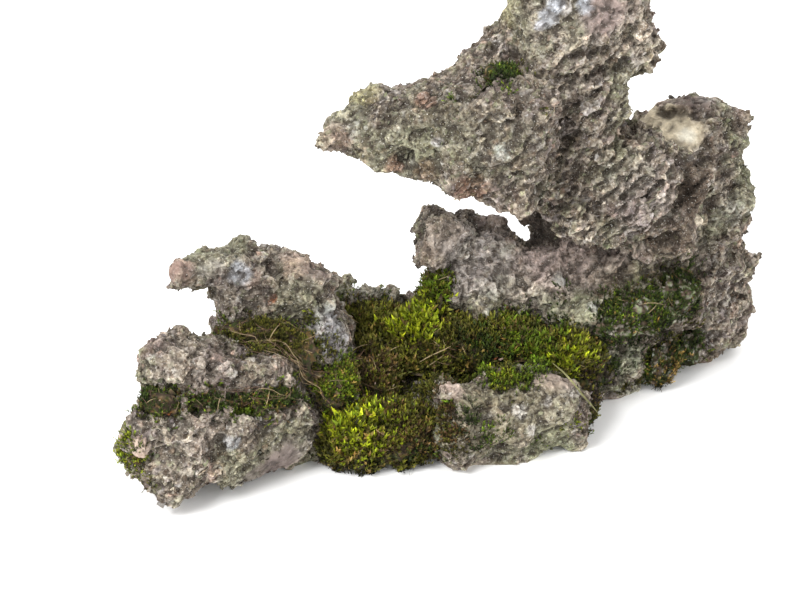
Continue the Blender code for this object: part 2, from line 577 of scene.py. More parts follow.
class NodeKit:
    """Adds and links the nodes of one material."""

    def __init__(self, name: str) -> None:
        """Makes an empty material of that name."""
        self.material = bpy.data.materials.new(name)
        self.material.use_nodes = True
        self.tree = self.material.node_tree
        self.shader = self.tree.nodes["Principled BSDF"]

    def add(self, kind: str, **settings: object) -> bpy.types.Node:
        """Adds a node.

        Args:
            kind: its Blender type.
            settings: properties by name, or inputs by name with spaces as underscores.

        Returns:
            The node.
        """
        node = self.tree.nodes.new(kind)
        for key, value in settings.items():
            label = key.replace("_", " ").title()
            if label in node.inputs:
                node.inputs[label].default_value = value
            else:
                setattr(node, key, value)
        return node

    def link(self, source: Socket, target: Socket) -> None:
        """Links two sockets."""
        self.tree.links.new(source, target)

    def mix(self, factor: Socket, low: object, high: object) -> Socket:
        """Mixes two colours.

        Args:
            factor: how much of the second.
            low: the first colour or a socket of it.
            high: the second colour or a socket of it.

        Returns:
            The mixed colour's socket.
        """
        node = self.add("ShaderNodeMix", data_type="RGBA")
        self.link(factor, node.inputs["Factor"])
        for socket, value in ((node.inputs[6], low), (node.inputs[7], high)):
            if isinstance(value, Socket):
                self.link(value, socket)
            else:
                socket.default_value = (*value, 1.0)
        return node.outputs[2]

    def ramp(self, source: Socket, low: float, high: float) -> Socket:
        """Stretches a value so that low becomes 0 and high becomes 1.

        Args:
            source: the value's socket.
            low: what becomes 0.
            high: what becomes 1.

        Returns:
            The stretched value's socket.
        """
        node = self.add("ShaderNodeMapRange")
        node.inputs["From Min"].default_value = low
        node.inputs["From Max"].default_value = high
        self.link(source, node.inputs["Value"])
        return node.outputs["Result"]

    def noise(self, size: float, detail: float = 3.0) -> Socket:
        """A noise over the object's own space.

        Args:
            size: its lumps' width in millimetres.
            detail: how many finer layers it has.

        Returns:
            The noise's socket.
        """
        node = self.add("ShaderNodeTexNoise", Scale=1.0 / (size * MM), Detail=detail, Roughness=0.65)
        self.link(self.place(), node.inputs["Vector"])
        return node.outputs["Fac"]

    def place(self) -> Socket:
        """The object's own coordinates."""
        return self.add("ShaderNodeTexCoord").outputs["Object"]

    def grains(self, size: float) -> tuple[Socket, Socket]:
        """Irregular grains over the object's own space.

        Args:
            size: their width in millimetres.

        Returns:
            A random number for each grain, and the distance from its middle, which grows to its border.
        """
        wander = self.add("ShaderNodeTexNoise", Scale=1.0 / (size * MM), Detail=2.0)
        self.link(self.place(), wander.inputs["Vector"])
        moved = self.add("ShaderNodeVectorMath", operation="MULTIPLY_ADD")
        moved.inputs[1].default_value = (size * MM,) * 3
        self.link(wander.outputs["Color"], moved.inputs[0])
        self.link(self.place(), moved.inputs[2])
        cells = self.add("ShaderNodeTexVoronoi", Scale=1.0 / (size * MM))
        self.link(moved.outputs["Vector"], cells.inputs["Vector"])
        split = self.add("ShaderNodeSeparateColor")
        self.link(cells.outputs["Color"], split.inputs["Color"])
        return split.outputs["Red"], cells.outputs["Distance"]

    def shades(self, source: Socket, stops: Stops) -> Socket:
        """Gives a value one of a few colours.

        Args:
            source: the value's socket.
            stops: where each colour starts, and the colour.

        Returns:
            The colour's socket.
        """
        node = self.add("ShaderNodeValToRGB")
        ramp = node.color_ramp
        ramp.interpolation = "CONSTANT"
        while len(ramp.elements) < len(stops):
            ramp.elements.new(0.5)
        for element, (start, colour) in zip(ramp.elements, stops):
            element.position = start
            element.color = (*colour, 1.0)
        self.link(source, node.inputs["Fac"])
        return node.outputs["Color"]

    def darker(self, colour: Socket, share: float) -> Socket:
        """Multiplies a colour by one number.

        Args:
            colour: the colour's socket.
            share: what it is multiplied by.

        Returns:
            The product's socket.
        """
        node = self.add("ShaderNodeVectorMath", operation="SCALE")
        self.link(colour, node.inputs["Vector"])
        node.inputs["Scale"].default_value = share
        return node.outputs["Vector"]

    def times(self, first: Socket, second: Socket) -> Socket:
        """Multiplies two colours.

        Args:
            first: the first colour's socket.
            second: the second colour's socket.

        Returns:
            Their product's socket.
        """
        node = self.add("ShaderNodeMix", data_type="RGBA", blend_type="MULTIPLY")
        node.inputs["Factor"].default_value = 1.0
        self.link(first, node.inputs[6])
        self.link(second, node.inputs[7])
        return node.outputs[2]

    def matt(self, roughness: float, shine: float = 0.3) -> None:
        """Sets how matt the surface is, and how much light its gloss throws back."""
        self.shader.inputs["Roughness"].default_value = roughness
        self.shader.inputs["Specular IOR Level"].default_value = shine

    def bump(self, height: Socket, depth: float, strength: float = 1.0,
             under: Optional[Socket] = None) -> Socket:
        """Turns a height into a normal.

        Args:
            height: the height's socket.
            depth: how deep the relief is in millimetres.
            strength: how strongly it shows.
            under: a normal it adds to.

        Returns:
            The normal's socket.
        """
        node = self.add("ShaderNodeBump", Strength=strength, Distance=depth * MM)
        self.link(height, node.inputs["Height"])
        if under is not None:
            self.link(under, node.inputs["Normal"])
        return node.outputs["Normal"]


@dataclass(frozen=True)
class StoneFinish:
    """Grained stone: each point's tint, with its painted shade and highlight, broken up into mineral grains,
    with flecks, specks and pits.

    Attributes:
        name: the material's name.
        roughness: how matt the stone is.
        grain: the width of its mineral grains in millimetres.
        minerals: the shades of the grains: where each starts among them, and what it multiplies the tint by.
        fleck: the colour of the light mineral flecks.
        speck: the colour of the dark specks.
        depth: what the whole colour is multiplied by.
    """

    name: str = "grained_stone"
    roughness: float = 0.9
    grain: float = 2.2
    minerals: Stops = (
        (0.0, (0.62, 0.57, 0.52)), (0.16, (0.82, 0.79, 0.76)), (0.40, (0.96, 0.95, 0.94)),
        (0.66, (1.04, 1.03, 1.01)), (0.85, (1.18, 1.16, 1.13)), (0.95, (1.5, 1.47, 1.43)),
    )
    fleck: Colour = (0.66, 0.63, 0.57)
    speck: Colour = (0.030, 0.023, 0.018)
    depth: float = 0.79

    def material(self) -> Material:
        """Makes the material.

        Returns:
            The material.
        """
        kit = NodeKit(self.name)
        point = kit.add("ShaderNodeVertexColor", layer_name="tint")
        tint, grained = point.outputs["Color"], point.outputs["Alpha"]
        chance, far = kit.grains(self.grain)
        small_chance, small_far = kit.grains(self.grain * 0.42)
        shaded = kit.times(tint, kit.shades(chance, self.minerals))
        shaded = kit.times(shaded, kit.shades(small_chance, self.minerals))
        light = kit.mix(kit.ramp(kit.noise(0.8, 2.0), 0.64, 0.72), shaded, self.fleck)
        dark = kit.mix(kit.ramp(kit.noise(1.4, 4.0), 0.37, 0.29), light, self.speck)
        faint = kit.mix(kit.ramp(kit.noise(1.6, 4.0), 0.35, 0.65), (0.84, 0.82, 0.80), (1.1, 1.1, 1.1))
        faint = kit.times(tint, faint)
        kit.link(kit.darker(kit.mix(grained, faint, dark), self.depth), kit.shader.inputs["Base Color"])
        kit.matt(self.roughness)
        relief = kit.bump(kit.ramp(far, 0.8, 0.1), 0.4)
        relief = kit.bump(kit.ramp(small_far, 0.8, 0.1), 0.2, 0.8, relief)
        for node in kit.tree.nodes:
            if node.bl_idname == "ShaderNodeBump":
                kit.link(grained, node.inputs["Strength"])
        kit.link(kit.bump(kit.noise(1.1, 5.0), 0.5, 0.8, relief), kit.shader.inputs["Normal"])
        return kit.material


@dataclass(frozen=True)
class PlantFinish:
    """Moss shoots, humus and dry litter: each point's own tint with a little life in it.

    Attributes:
        name: the material's name.
        roughness: how matt it is.
        spread: how far the tint wanders.
        grain: the width of its fine lumps in millimetres.
        glow: how much light goes through a thin leaf.
        depth: what the whole colour is multiplied by.
    """

    name: str
    roughness: float = 0.7
    spread: float = 0.35
    grain: float = 1.0
    glow: float = 0.0
    depth: float = 0.79

    def material(self) -> Material:
        """Makes the material.

        Returns:
            The material.
        """
        kit = NodeKit(self.name)
        tint = kit.add("ShaderNodeVertexColor", layer_name="tint").outputs["Color"]
        low, high = (1.0 - self.spread,) * 3, (1.0 + self.spread,) * 3
        lively = kit.mix(kit.ramp(kit.noise(self.grain * 3.0), 0.35, 0.65), low, high)
        kit.link(kit.darker(kit.times(tint, lively), self.depth), kit.shader.inputs["Base Color"])
        kit.matt(self.roughness)
        if self.glow > 0.0:
            kit.shader.inputs["Subsurface Weight"].default_value = self.glow
            kit.shader.inputs["Subsurface Scale"].default_value = 0.001
            kit.shader.inputs["Subsurface Radius"].default_value = (0.5, 0.9, 0.2)
        kit.link(kit.bump(kit.noise(self.grain * 0.5), self.grain * 0.3), kit.shader.inputs["Normal"])
        return kit.material


@dataclass(frozen=True)
class FloorFinish:
    """A plain pale floor.

    Attributes:
        colour: its colour.
    """

    colour: Colour = (0.94, 0.94, 0.94)

    def material(self) -> Material:
        """Makes the material.

        Returns:
            The material.
        """
        kit = NodeKit("pale_floor")
        kit.shader.inputs["Base Color"].default_value = (*self.colour, 1.0)
        kit.shader.inputs["Roughness"].default_value = 0.9
        return kit.material


# The camera, which also finds the place on the stone that a point of the picture shows


@dataclass(frozen=True)
class Pinned:
    """Something on the stone or the moss, at a pixel of the picture.

    Attributes:
        u: the pixel's column.
        v: the pixel's row.
    """

    u: float
    v: float


@dataclass
class Lookout:
    """The camera at the viewing angle of the picture.

    Attributes:
        elevation: its angle above the floor in degrees.
        distance: how far it is from its target.
        target: what it looks at.
        per_pixel: the width of a pixel at the target.
        width: the picture's width in pixels.
        height: the picture's height in pixels.
    """

    elevation: float = 28.0
    distance: float = 900.0
    target: tuple[float, float, float] = (0.0, 0.0, 62.0)
    per_pixel: float = 0.5
    width: int = 800
    height: int = 611

    def axes(self) -> tuple[Vector, Vector, Vector]:
        """The camera's right, up and backward axes."""
        tilt = math.radians(self.elevation)
        up = Vector((0.0, math.sin(tilt), math.cos(tilt)))
        return Vector((1.0, 0.0, 0.0)), up, Vector((0.0, -math.cos(tilt), math.sin(tilt)))

    def eye(self) -> Vector:
        """Where the camera stands, in millimetres."""
        return Vector(self.target) + self.axes()[2] * self.distance

    def spot(self, tree: BVHTree, u: float, v: float) -> Optional[tuple[Array, Array]]:
        """Finds what the picture shows at a pixel.

        Args:
            tree: the search tree of the surface.
            u: the pixel's column.
            v: the pixel's row.

        Returns:
            The place in millimetres and the normal there, or None where the surface isn't.
        """
        right, up, back = self.axes()
        across = (u - self.width / 2) * self.per_pixel
        down = (v - self.height / 2) * self.per_pixel
        ray = right * across - up * down - back * self.distance
        hit, normal, _, _ = tree.ray_cast(self.eye() * MM, ray.normalized())
        if hit is None:
            return None
        return np.array(hit) / MM, np.array(normal)

    def locate(self, tree: BVHTree, things: tuple[Pinned, ...]) -> list[tuple[Pinned, Array, Array]]:
        """Finds the places of the things that are given by a pixel.

        Args:
            tree: the search tree of the surface that they are on.
            things: the things.

        Returns:
            Each thing that is on the surface, with its place in millimetres and the normal there.
        """
        found = []
        for thing in things:
            seen = self.spot(tree, thing.u, thing.v)
            if seen is None:
                log.info("%s: nothing at pixel %s, %s", type(thing).__name__, thing.u, thing.v)
            else:
                found.append((thing, *seen))
        return found

    def trace(self, tree: BVHTree, ends: Route, step: float, lift: float = 0.0) -> Array:
        """Follows a line of the picture over a surface.

        Args:
            tree: the search tree of the surface.
            ends: the pixels that the line passes.
            step: how many pixels apart its points are.
            lift: how far its points stand off the surface.

        Returns:
            The line's points, smoothed, one a row.
        """
        path = []
        for first, second in zip(ends[:-1], ends[1:]):
            steps = max(int(math.dist(first, second) / step), 2)
            for index in range(steps):
                t = index / steps
                pixel = [start + t * (end - start) for start, end in zip(first, second)]
                seen = self.spot(tree, *pixel)
                if seen is not None:
                    path.append(seen[0] + seen[1] * lift)
        rounded = np.array(path).reshape(-1, 3)
        for _ in range(2):
            rounded[1:-1] = (rounded[:-2] + 2.0 * rounded[1:-1] + rounded[2:]) / 4.0
        return rounded

    def place_camera(self) -> None:
        """Makes the camera and sets it as the scene's."""
        data = bpy.data.cameras.new("camera")
        camera = bpy.data.objects.new("camera", data)
        bpy.context.scene.collection.objects.link(camera)
        camera.location = self.eye() * MM
        camera.rotation_mode = "QUATERNION"
        camera.rotation_quaternion = (-self.axes()[2]).to_track_quat("-Z", "Y")
        data.sensor_width = 36.0
        data.lens = data.sensor_width * self.distance / (self.width * self.per_pixel)
        data.clip_start = 0.01
        data.clip_end = 20.0
        bpy.context.scene.camera = camera


@dataclass
class Studio:
    """A pale floor under soft light.

    Attributes:
        floor_width: the floor's side in metres.
        aim: the point that the lamps face, in metres.
        sky: the strength of the even light from all around.
        sky_colour: its colour.
        lamps: each soft lamp's name, place in metres, power in watts and width in metres.
    """

    floor_width: float = 8.0
    aim: tuple[float, float, float] = (0.02, 0.0, 0.08)
    sky: float = 1.2
    sky_colour: Colour = (1.0, 0.995, 0.985)
    lamps: tuple[tuple[str, tuple[float, float, float], float, float], ...] = (
        ("key_lamp", (-0.60, -0.80, 1.00), 19.0, 0.5),
        ("fill_lamp", (0.9, -0.9, 0.7), 5.0, 1.0),
        ("back_lamp", (0.3, 1.1, 1.0), 7.5, 0.9),
    )

    def build(self) -> None:
        """Makes the floor, the lamps and the sky."""
        bm = bmesh.new()
        bmesh.ops.create_grid(bm, x_segments=1, y_segments=1, size=self.floor_width / 2)
        mesh = bpy.data.meshes.new("floor")
        bm.to_mesh(mesh)
        bm.free()
        mesh.materials.append(FloorFinish().material())
        floor = bpy.data.objects.new("floor", mesh)
        bpy.context.scene.collection.objects.link(floor)
        for name, place, power, width in self.lamps:
            data = bpy.data.lights.new(name, "AREA")
            data.energy = power
            data.size = width
            lamp = bpy.data.objects.new(name, data)
            lamp.location = place
            lamp.rotation_mode = "QUATERNION"
            lamp.rotation_quaternion = (Vector(self.aim) - Vector(place)).to_track_quat("-Z", "Y")
            bpy.context.scene.collection.objects.link(lamp)
        world = bpy.data.worlds.new("soft_sky")
        world.use_nodes = True
        background = world.node_tree.nodes["Background"]
        background.inputs["Color"].default_value = (*self.sky_colour, 1.0)
        background.inputs["Strength"].default_value = self.sky
        bpy.context.scene.view_settings.view_transform = "Standard"
        bpy.context.scene.world = world


# The stone's colours


@dataclass(frozen=True)
class Patch(Pinned):
    """A patch of one colour on the stone; the table marks the patches that are painted shade and those that
    are partly painted light.

    Attributes:
        reach: its radius in millimetres.
        colour: its colour.
        amount: how much it covers, from 0 to 1.
        calm: how much smoother than the rest its surface is, from 0 to 1.
    """

    reach: float
    colour: Colour
    amount: float = 0.7
    calm: float = 0.0


GREY: Colour = (0.235, 0.208, 0.172)
PALE: Colour = (0.46, 0.42, 0.36)
CREAM: Colour = (0.56, 0.50, 0.40)
WHITE: Colour = (0.62, 0.61, 0.60)
BLUISH: Colour = (0.38, 0.41, 0.46)
LILAC: Colour = (0.27, 0.24, 0.25)
PURPLE: Colour = (0.155, 0.120, 0.115)
PINK: Colour = (0.47, 0.33, 0.27)
TAN: Colour = (0.58, 0.51, 0.38)
BROWN: Colour = (0.115, 0.082, 0.058)
DARK: Colour = (0.045, 0.036, 0.029)
LICHEN: Colour = (0.25, 0.28, 0.17)
YELLOW_LICHEN: Colour = (0.33, 0.31, 0.16)
RUST: Colour = (0.20, 0.065, 0.02)


@dataclass
class StoneColours:
    """The stone's colours: a grain's own shade, and the broad patches that the picture shows.

    Attributes:
        patches: the patches, each at a pixel.
        shades: the grains' shades from dark to light, and how common each is.
        bright: how bright the stone is between the patches.
        found: the patches that are on the stone, each with its place.
    """

    patches: tuple[Patch, ...] = tuple(Patch(*row) for row in (
        (178, 271, 8, (0.215, 0.148, 0.125), 0.9, 0.6), (300, 263, 10, PINK, 0.4, 0.4),
        (240, 273, 6, BLUISH, 0.7, 0.4), (273, 298, 2.5, RUST, 0.9), (335, 330, 14, BLUISH, 0.35, 0.4),
        (345, 355, 10, LILAC, 0.4, 0.5), (318, 272, 9, PURPLE, 0.5, 0.3), (215, 270, 10, LILAC, 0.3, 0.3),
        (140, 449, 5, (0.44, 0.35, 0.29), 0.8, 0.5), (230, 440, 4, BLUISH, 0.8, 0.3),
        (285, 462, 13, PURPLE, 0.8, 0.9), (262, 474, 10, PURPLE, 0.6, 0.7), (190, 360, 14, PALE, 0.35),
        (215, 430, 14, PALE, 0.3), (385, 130, 38, DARK, 0.18), (455, 125, 40, DARK, 0.20),
        (215, 360, 34, DARK, 0.20), (270, 290, 36, DARK, 0.15), (480, 85, 24, DARK, 0.14),
        (365, 95, 8, YELLOW_LICHEN, 0.45), (335, 138, 8, (0.27, 0.21, 0.17), 0.4),
        (430, 130, 22, LICHEN, 0.15), (500, 150, 20, LICHEN, 0.15), (470, 190, 9, RUST, 0.3),
        (425, 172, 6, RUST, 0.25), (548, 20, 4.5, BLUISH, 0.95, 0.5), (556, 6, 5.5, BLUISH, 0.95, 0.5),
        (541, 27, 3, (0.44, 0.46, 0.52), 0.95, 0.4), (602, 12, 11, (0.21, 0.165, 0.155), 0.9, 0.5),
        (584, 5, 4, BLUISH, 0.9, 0.5), (566, 10, 3, WHITE, 0.8, 0.5), (508, 8, 8, YELLOW_LICHEN, 0.4),
        (645, 35, 14, PALE, 0.4), (560, 60, 20, PALE, 0.2), (620, 180, 16, LICHEN, 0.2),
        # Painted shade: the DARK patches at (697, 165), (699, 190) and (697, 208) darken the wall behind the
        # belly, and those at (684, 236) and (666, 246) paint the shadow under the belly's lower edge.
        (640, 200, 20, LILAC, 0.3), (697, 165, 9, DARK, 0.75), (699, 190, 10, DARK, 0.8),
        (697, 208, 9, DARK, 0.75), (684, 236, 9, DARK, 0.7), (666, 246, 8, DARK, 0.6),
        (698, 222, 4, CREAM, 0.8, 0.5), (609, 263, 4.5, CREAM, 0.85, 0.5), (664, 127, 14, TAN, 0.95, 0.9),
        (648, 122, 10, TAN, 0.95, 0.9), (684, 133, 12, TAN, 0.95, 0.9),
        (687, 134, 5, (0.58, 0.56, 0.48), 0.8, 0.5), (692, 99, 11, PURPLE, 0.6, 0.5),
        (700, 190, 18, BROWN, 0.4), (440, 238, 13, (0.29, 0.245, 0.21), 0.7, 0.3),
        (455, 220, 8, (0.23, 0.195, 0.17), 0.6, 0.2), (448, 246, 5, (0.34, 0.30, 0.27), 0.6, 0.6),
        # Painted shade: the DARK patches at (434, 212), (456, 212), (472, 218) and (421, 226) darken the
        # knob's upper rim, and the one at (450, 258) the shade under the knob.
        (425, 252, 6, BROWN, 0.5), (434, 212, 6, DARK, 0.75), (456, 212, 6, DARK, 0.75),
        (472, 218, 5, DARK, 0.7), (421, 226, 5, DARK, 0.5), (450, 258, 4, DARK, 0.6),
        (492, 225, 9, PURPLE, 0.6, 0.2), (480, 262, 20, (0.35, 0.325, 0.315), 0.55, 0.08),
        (455, 285, 12, (0.31, 0.285, 0.27), 0.5, 0.0), (575, 300, 20, LICHEN, 0.45, 0.2),
        (530, 285, 12, PALE, 0.4, 0.2), (630, 285, 14, LICHEN, 0.3, 0.1),
        # The pinkish-brown patches at (560, 262) and (600, 266) are partly the wall's own colour and partly
        # painted light that lifts the wall out of the shade under the belly.
        (560, 262, 16, (0.42, 0.34, 0.32), 0.65, 0.25), (600, 266, 14, (0.42, 0.345, 0.32), 0.65, 0.2),
        # Painted shade: the DARK patches at (535, 222) and (508, 228) darken the undercut beneath the spur.
        (530, 262, 9, (0.38, 0.315, 0.295), 0.5, 0.2), (535, 222, 14, DARK, 0.85), (508, 228, 5, DARK, 0.6),
        (375, 300, 16, (0.20, 0.19, 0.175), 0.5), (452, 392, 6, (0.40, 0.32, 0.28), 0.7, 0.5),
        (550, 380, 9, (0.29, 0.22, 0.195), 0.7, 0.5), (550, 445, 14, LICHEN, 0.6, 0.1),
        (500, 415, 24, (0.19, 0.18, 0.11), 0.45, 0.05), (545, 415, 16, (0.27, 0.26, 0.18), 0.4, 0.05),
        (520, 410, 4, WHITE, 0.5), (545, 402, 3, WHITE, 0.5), (488, 418, 3, WHITE, 0.5),
        (532, 430, 3, WHITE, 0.5), (470, 430, 14, (0.13, 0.117, 0.085), 0.6, 0.05),
        (680, 250, 18, BROWN, 0.4), (690, 300, 18, BROWN, 0.35), (660, 360, 16, (0.14, 0.135, 0.10), 0.4),
        (632, 360, 12, (0.27, 0.30, 0.22), 0.5), (640, 300, 20, (0.13, 0.115, 0.07), 0.5),
        (680, 290, 16, (0.12, 0.105, 0.07), 0.5), (596, 306, 4, (0.42, 0.45, 0.44), 0.6),
        (562, 280, 4, (0.40, 0.43, 0.42), 0.6), (599, 292, 4, BROWN, 0.8),
        (427, 101, 5, (0.25, 0.15, 0.12), 0.6), (437, 141, 3, (0.42, 0.42, 0.44), 0.7),
        (505, 152, 4, (0.42, 0.46, 0.44), 0.6), (395, 165, 5, (0.20, 0.11, 0.08), 0.6),
        # Painted shade: the BROWN and DARK patches at (590, 395) and (610, 385) darken the crevice there.
        (590, 395, 8, BROWN, 0.8), (610, 385, 8, DARK, 0.8),
    ))
    shades: Shares = (
        (DARK, 9.0), (BROWN, 15.0), (PURPLE, 10.0), (LILAC, 8.0), (GREY, 27.0), (LICHEN, 7.0), (PINK, 3.0),
        (PALE, 13.0), (CREAM, 6.0), (WHITE, 4.0),
    )
    bright: float = 0.86
    found: list[tuple[Patch, Array]] = field(default_factory=list)

    def locate(self, lookout: Lookout, tree: BVHTree) -> None:
        """Finds each patch's place on the stone.

        Args:
            lookout: the camera.
            tree: the search tree of the stone.
        """
        self.found = [(patch, place) for patch, place, _ in lookout.locate(tree, self.patches)]

    def calm(self, points: Array) -> Array:
        """How much smoother the surface is than elsewhere.

        Args:
            points: places in millimetres.

        Returns:
            Numbers from 0 to 1.
        """
        total = np.zeros(len(points))
        for patch, middle in self.found:
            if patch.calm > 0.0:
                total = np.maximum(total, patch.calm * self.cover(points, patch, middle))
        return total

    @staticmethod
    def cover(points: Array, patch: Patch, middle: Array) -> Array:
        """How much of a patch is at each point.

        Args:
            points: places in millimetres.
            patch: the patch.
            middle: its place.

        Returns:
            Numbers from 0 to 1, with a ragged border.
        """
        distance = np.linalg.norm(points - middle, axis=1) / patch.reach
        near = distance < 1.8
        distance[near] += 0.45 * RandomField(71).fractal(points[near], max(patch.reach, 4.0))
        return np.clip((1.15 - distance) / 0.4, 0.0, 1.0)

    def tint(self, points: Array, chance: Array) -> Array:
        """Colours points or grains.

        Args:
            points: places in millimetres.
            chance: a random number for each grain, from 0 to 1.

        Returns:
            One colour a row.
        """
        broad = RandomField(5).fractal(points, 32.0)[:, None]
        colours = np.array(GREY) * 0.25 + pick_shades(self.shades, chance) * 0.75
        colours = colours * self.bright * (1.0 + 0.3 * broad)
        green = np.clip(RandomField(9).fractal(points, 26.0) * 1.6 - 0.2, 0.0, 0.45)[:, None]
        colours = colours * (1.0 - green) + np.array(LICHEN) * 0.75 * green
        warm = np.clip(RandomField(10).fractal(points, 22.0) * 1.6 - 0.3, 0.0, 0.5)[:, None]
        colours = colours * (1.0 - warm) + np.array(PURPLE) * 1.2 * warm
        for patch, middle in self.found:
            share = (patch.amount * self.cover(points, patch, middle))[:, None]
            liveliness = 0.75 + 0.5 * (chance * 7.31 % 1.0)[:, None]
            colours = colours * (1.0 - share) + np.array(patch.colour) * liveliness * share
        return colours


# The stone


@dataclass(frozen=True)
class Knob(Pinned):
    """A pebble or lump that is fused to the stone.

    Attributes:
        size: its width, depth and height.
        proud: how far its middle stands off the stone.
    """

    size: tuple[float, float, float]
    proud: float = 0.0


@dataclass(frozen=True)
class Groove:
    """A crack or crease in the stone, along a line of the picture.

    Attributes:
        path: the pixels that it passes.
        width: how wide it is.
        depth: how deep it is.
    """

    path: Route
    width: float
    depth: float


KNOBS: tuple[Knob, ...] = tuple(Knob(*row) for row in (
    (140, 450, (9, 8, 10), 0.5), (230, 438, (6, 5, 8), 0.5), (167, 342, (9, 9, 9), 1.0),
    (181, 338, (8, 9, 9), 1.0), (148, 352, (9, 8, 8), 0.5), (300, 262, (18, 10, 8)),
    (262, 258, (13, 9, 10)), (353, 302, (12, 12, 13), 4.0), (369, 299, (13, 12, 14), 4.0),
    (387, 301, (13, 12, 13), 4.0), (403, 301, (8, 9, 9), 2.0), (492, 223, (17, 12, 10), 0.5),
    (451, 392, (12, 10, 11), 1.0), (475, 402, (12, 8, 8)), (609, 263, (7, 6, 8), 2.0),
    (698, 221, (6, 5, 7), 1.0), (548, 382, (20, 12, 10)), (240, 425, (16, 9, 9), 0.5),
    (200, 425, (9, 8, 12), 0.5), (290, 425, (18, 8, 9), 0.5), (160, 425, (10, 9, 11), 0.5),
    (688, 104, (26, 12, 6)), (320, 275, (16, 12, 9)), (176, 418, (8, 6, 15), 0.5), (192, 420, (7, 6, 12)),
    (212, 412, (9, 6, 16), 0.5), (262, 414, (10, 6, 12), 0.5), (277, 418, (7, 6, 15), 0.5),
    (300, 412, (9, 6, 13), 0.5), (198, 368, (9, 6, 14)), (225, 372, (12, 7, 9)), (255, 370, (10, 7, 10)),
    (285, 380, (9, 7, 9)), (175, 372, (10, 7, 10)), (522, 209, (16, 12, 9)), (534, 222, (18, 14, 11)),
    (341, 291, (13, 12, 17)), (328, 139, (15, 10, 8)), (180, 271, (12, 14, 15), 1.0),
    (231, 296, (16, 12, 12)), (230, 318, (16, 12, 16)), (183, 417, (10, 8, 18), 1.5),
    (222, 413, (12, 8, 18), 1.5), (270, 414, (16, 8, 15), 1.5), (173, 488, (22, 14, 20)),
))
GROOVES: tuple[Groove, ...] = (
    Groove(((580, 98), (564, 118), (560, 150), (549, 182), (537, 206)), 4.2, 7.0),
    Groove(((632, 128), (655, 138), (677, 155), (686, 175), (688, 195), (681, 212), (670, 226)), 4.2, 9.0),
    Groove(((508, 216), (530, 231), (556, 246), (590, 252), (625, 253), (652, 248), (672, 236)), 4.8, 10.0),
    Groove(((620, 136), (600, 152), (577, 176), (567, 200)), 2.4, 3.6),
    Groove(((512, 54), (537, 72), (567, 82), (597, 76), (630, 62), (652, 55)), 3.0, 4.6),
    Groove(((520, 40), (548, 54), (580, 58), (610, 48)), 1.8, 2.6),
    Groove(((548, 98), (575, 100), (606, 92)), 1.8, 2.8),
    Groove(((588, 215), (615, 195), (640, 182), (664, 180)), 2.0, 2.8),
    Groove(((478, 205), (483, 222), (476, 238)), 2.0, 2.6),
    Groove(((452, 268), (470, 262), (490, 268), (520, 262)), 1.8, 2.4),
    Groove(((257, 254), (272, 268), (282, 285), (300, 296)), 2.0, 3.2),
    Groove(((303, 275), (320, 300), (330, 330), (338, 360)), 2.0, 3.2),
    Groove(((603, 342), (607, 372), (612, 402), (610, 425)), 3.6, 6.0),
    Groove(((664, 332), (685, 334), (704, 326)), 2.0, 3.4),
    Groove(((566, 250), (563, 268), (571, 286)), 1.6, 2.4),
    Groove(((640, 106), (662, 112), (688, 112), (704, 120)), 2.0, 2.6),
    Groove(((560, 366), (580, 390), (594, 412)), 2.4, 3.5),
)


def above_floor(points: Array, start: float, reach: float) -> Array:
    """Tells how far up from the floor points are.

    Args:
        points: places in millimetres.
        start: the height below which the answer is 0.
        reach: how much higher the answer becomes 1.

    Returns:
        Numbers from 0 to 1.
    """
    return np.clip((points[:, 2] - start) / reach, 0.0, 1.0)


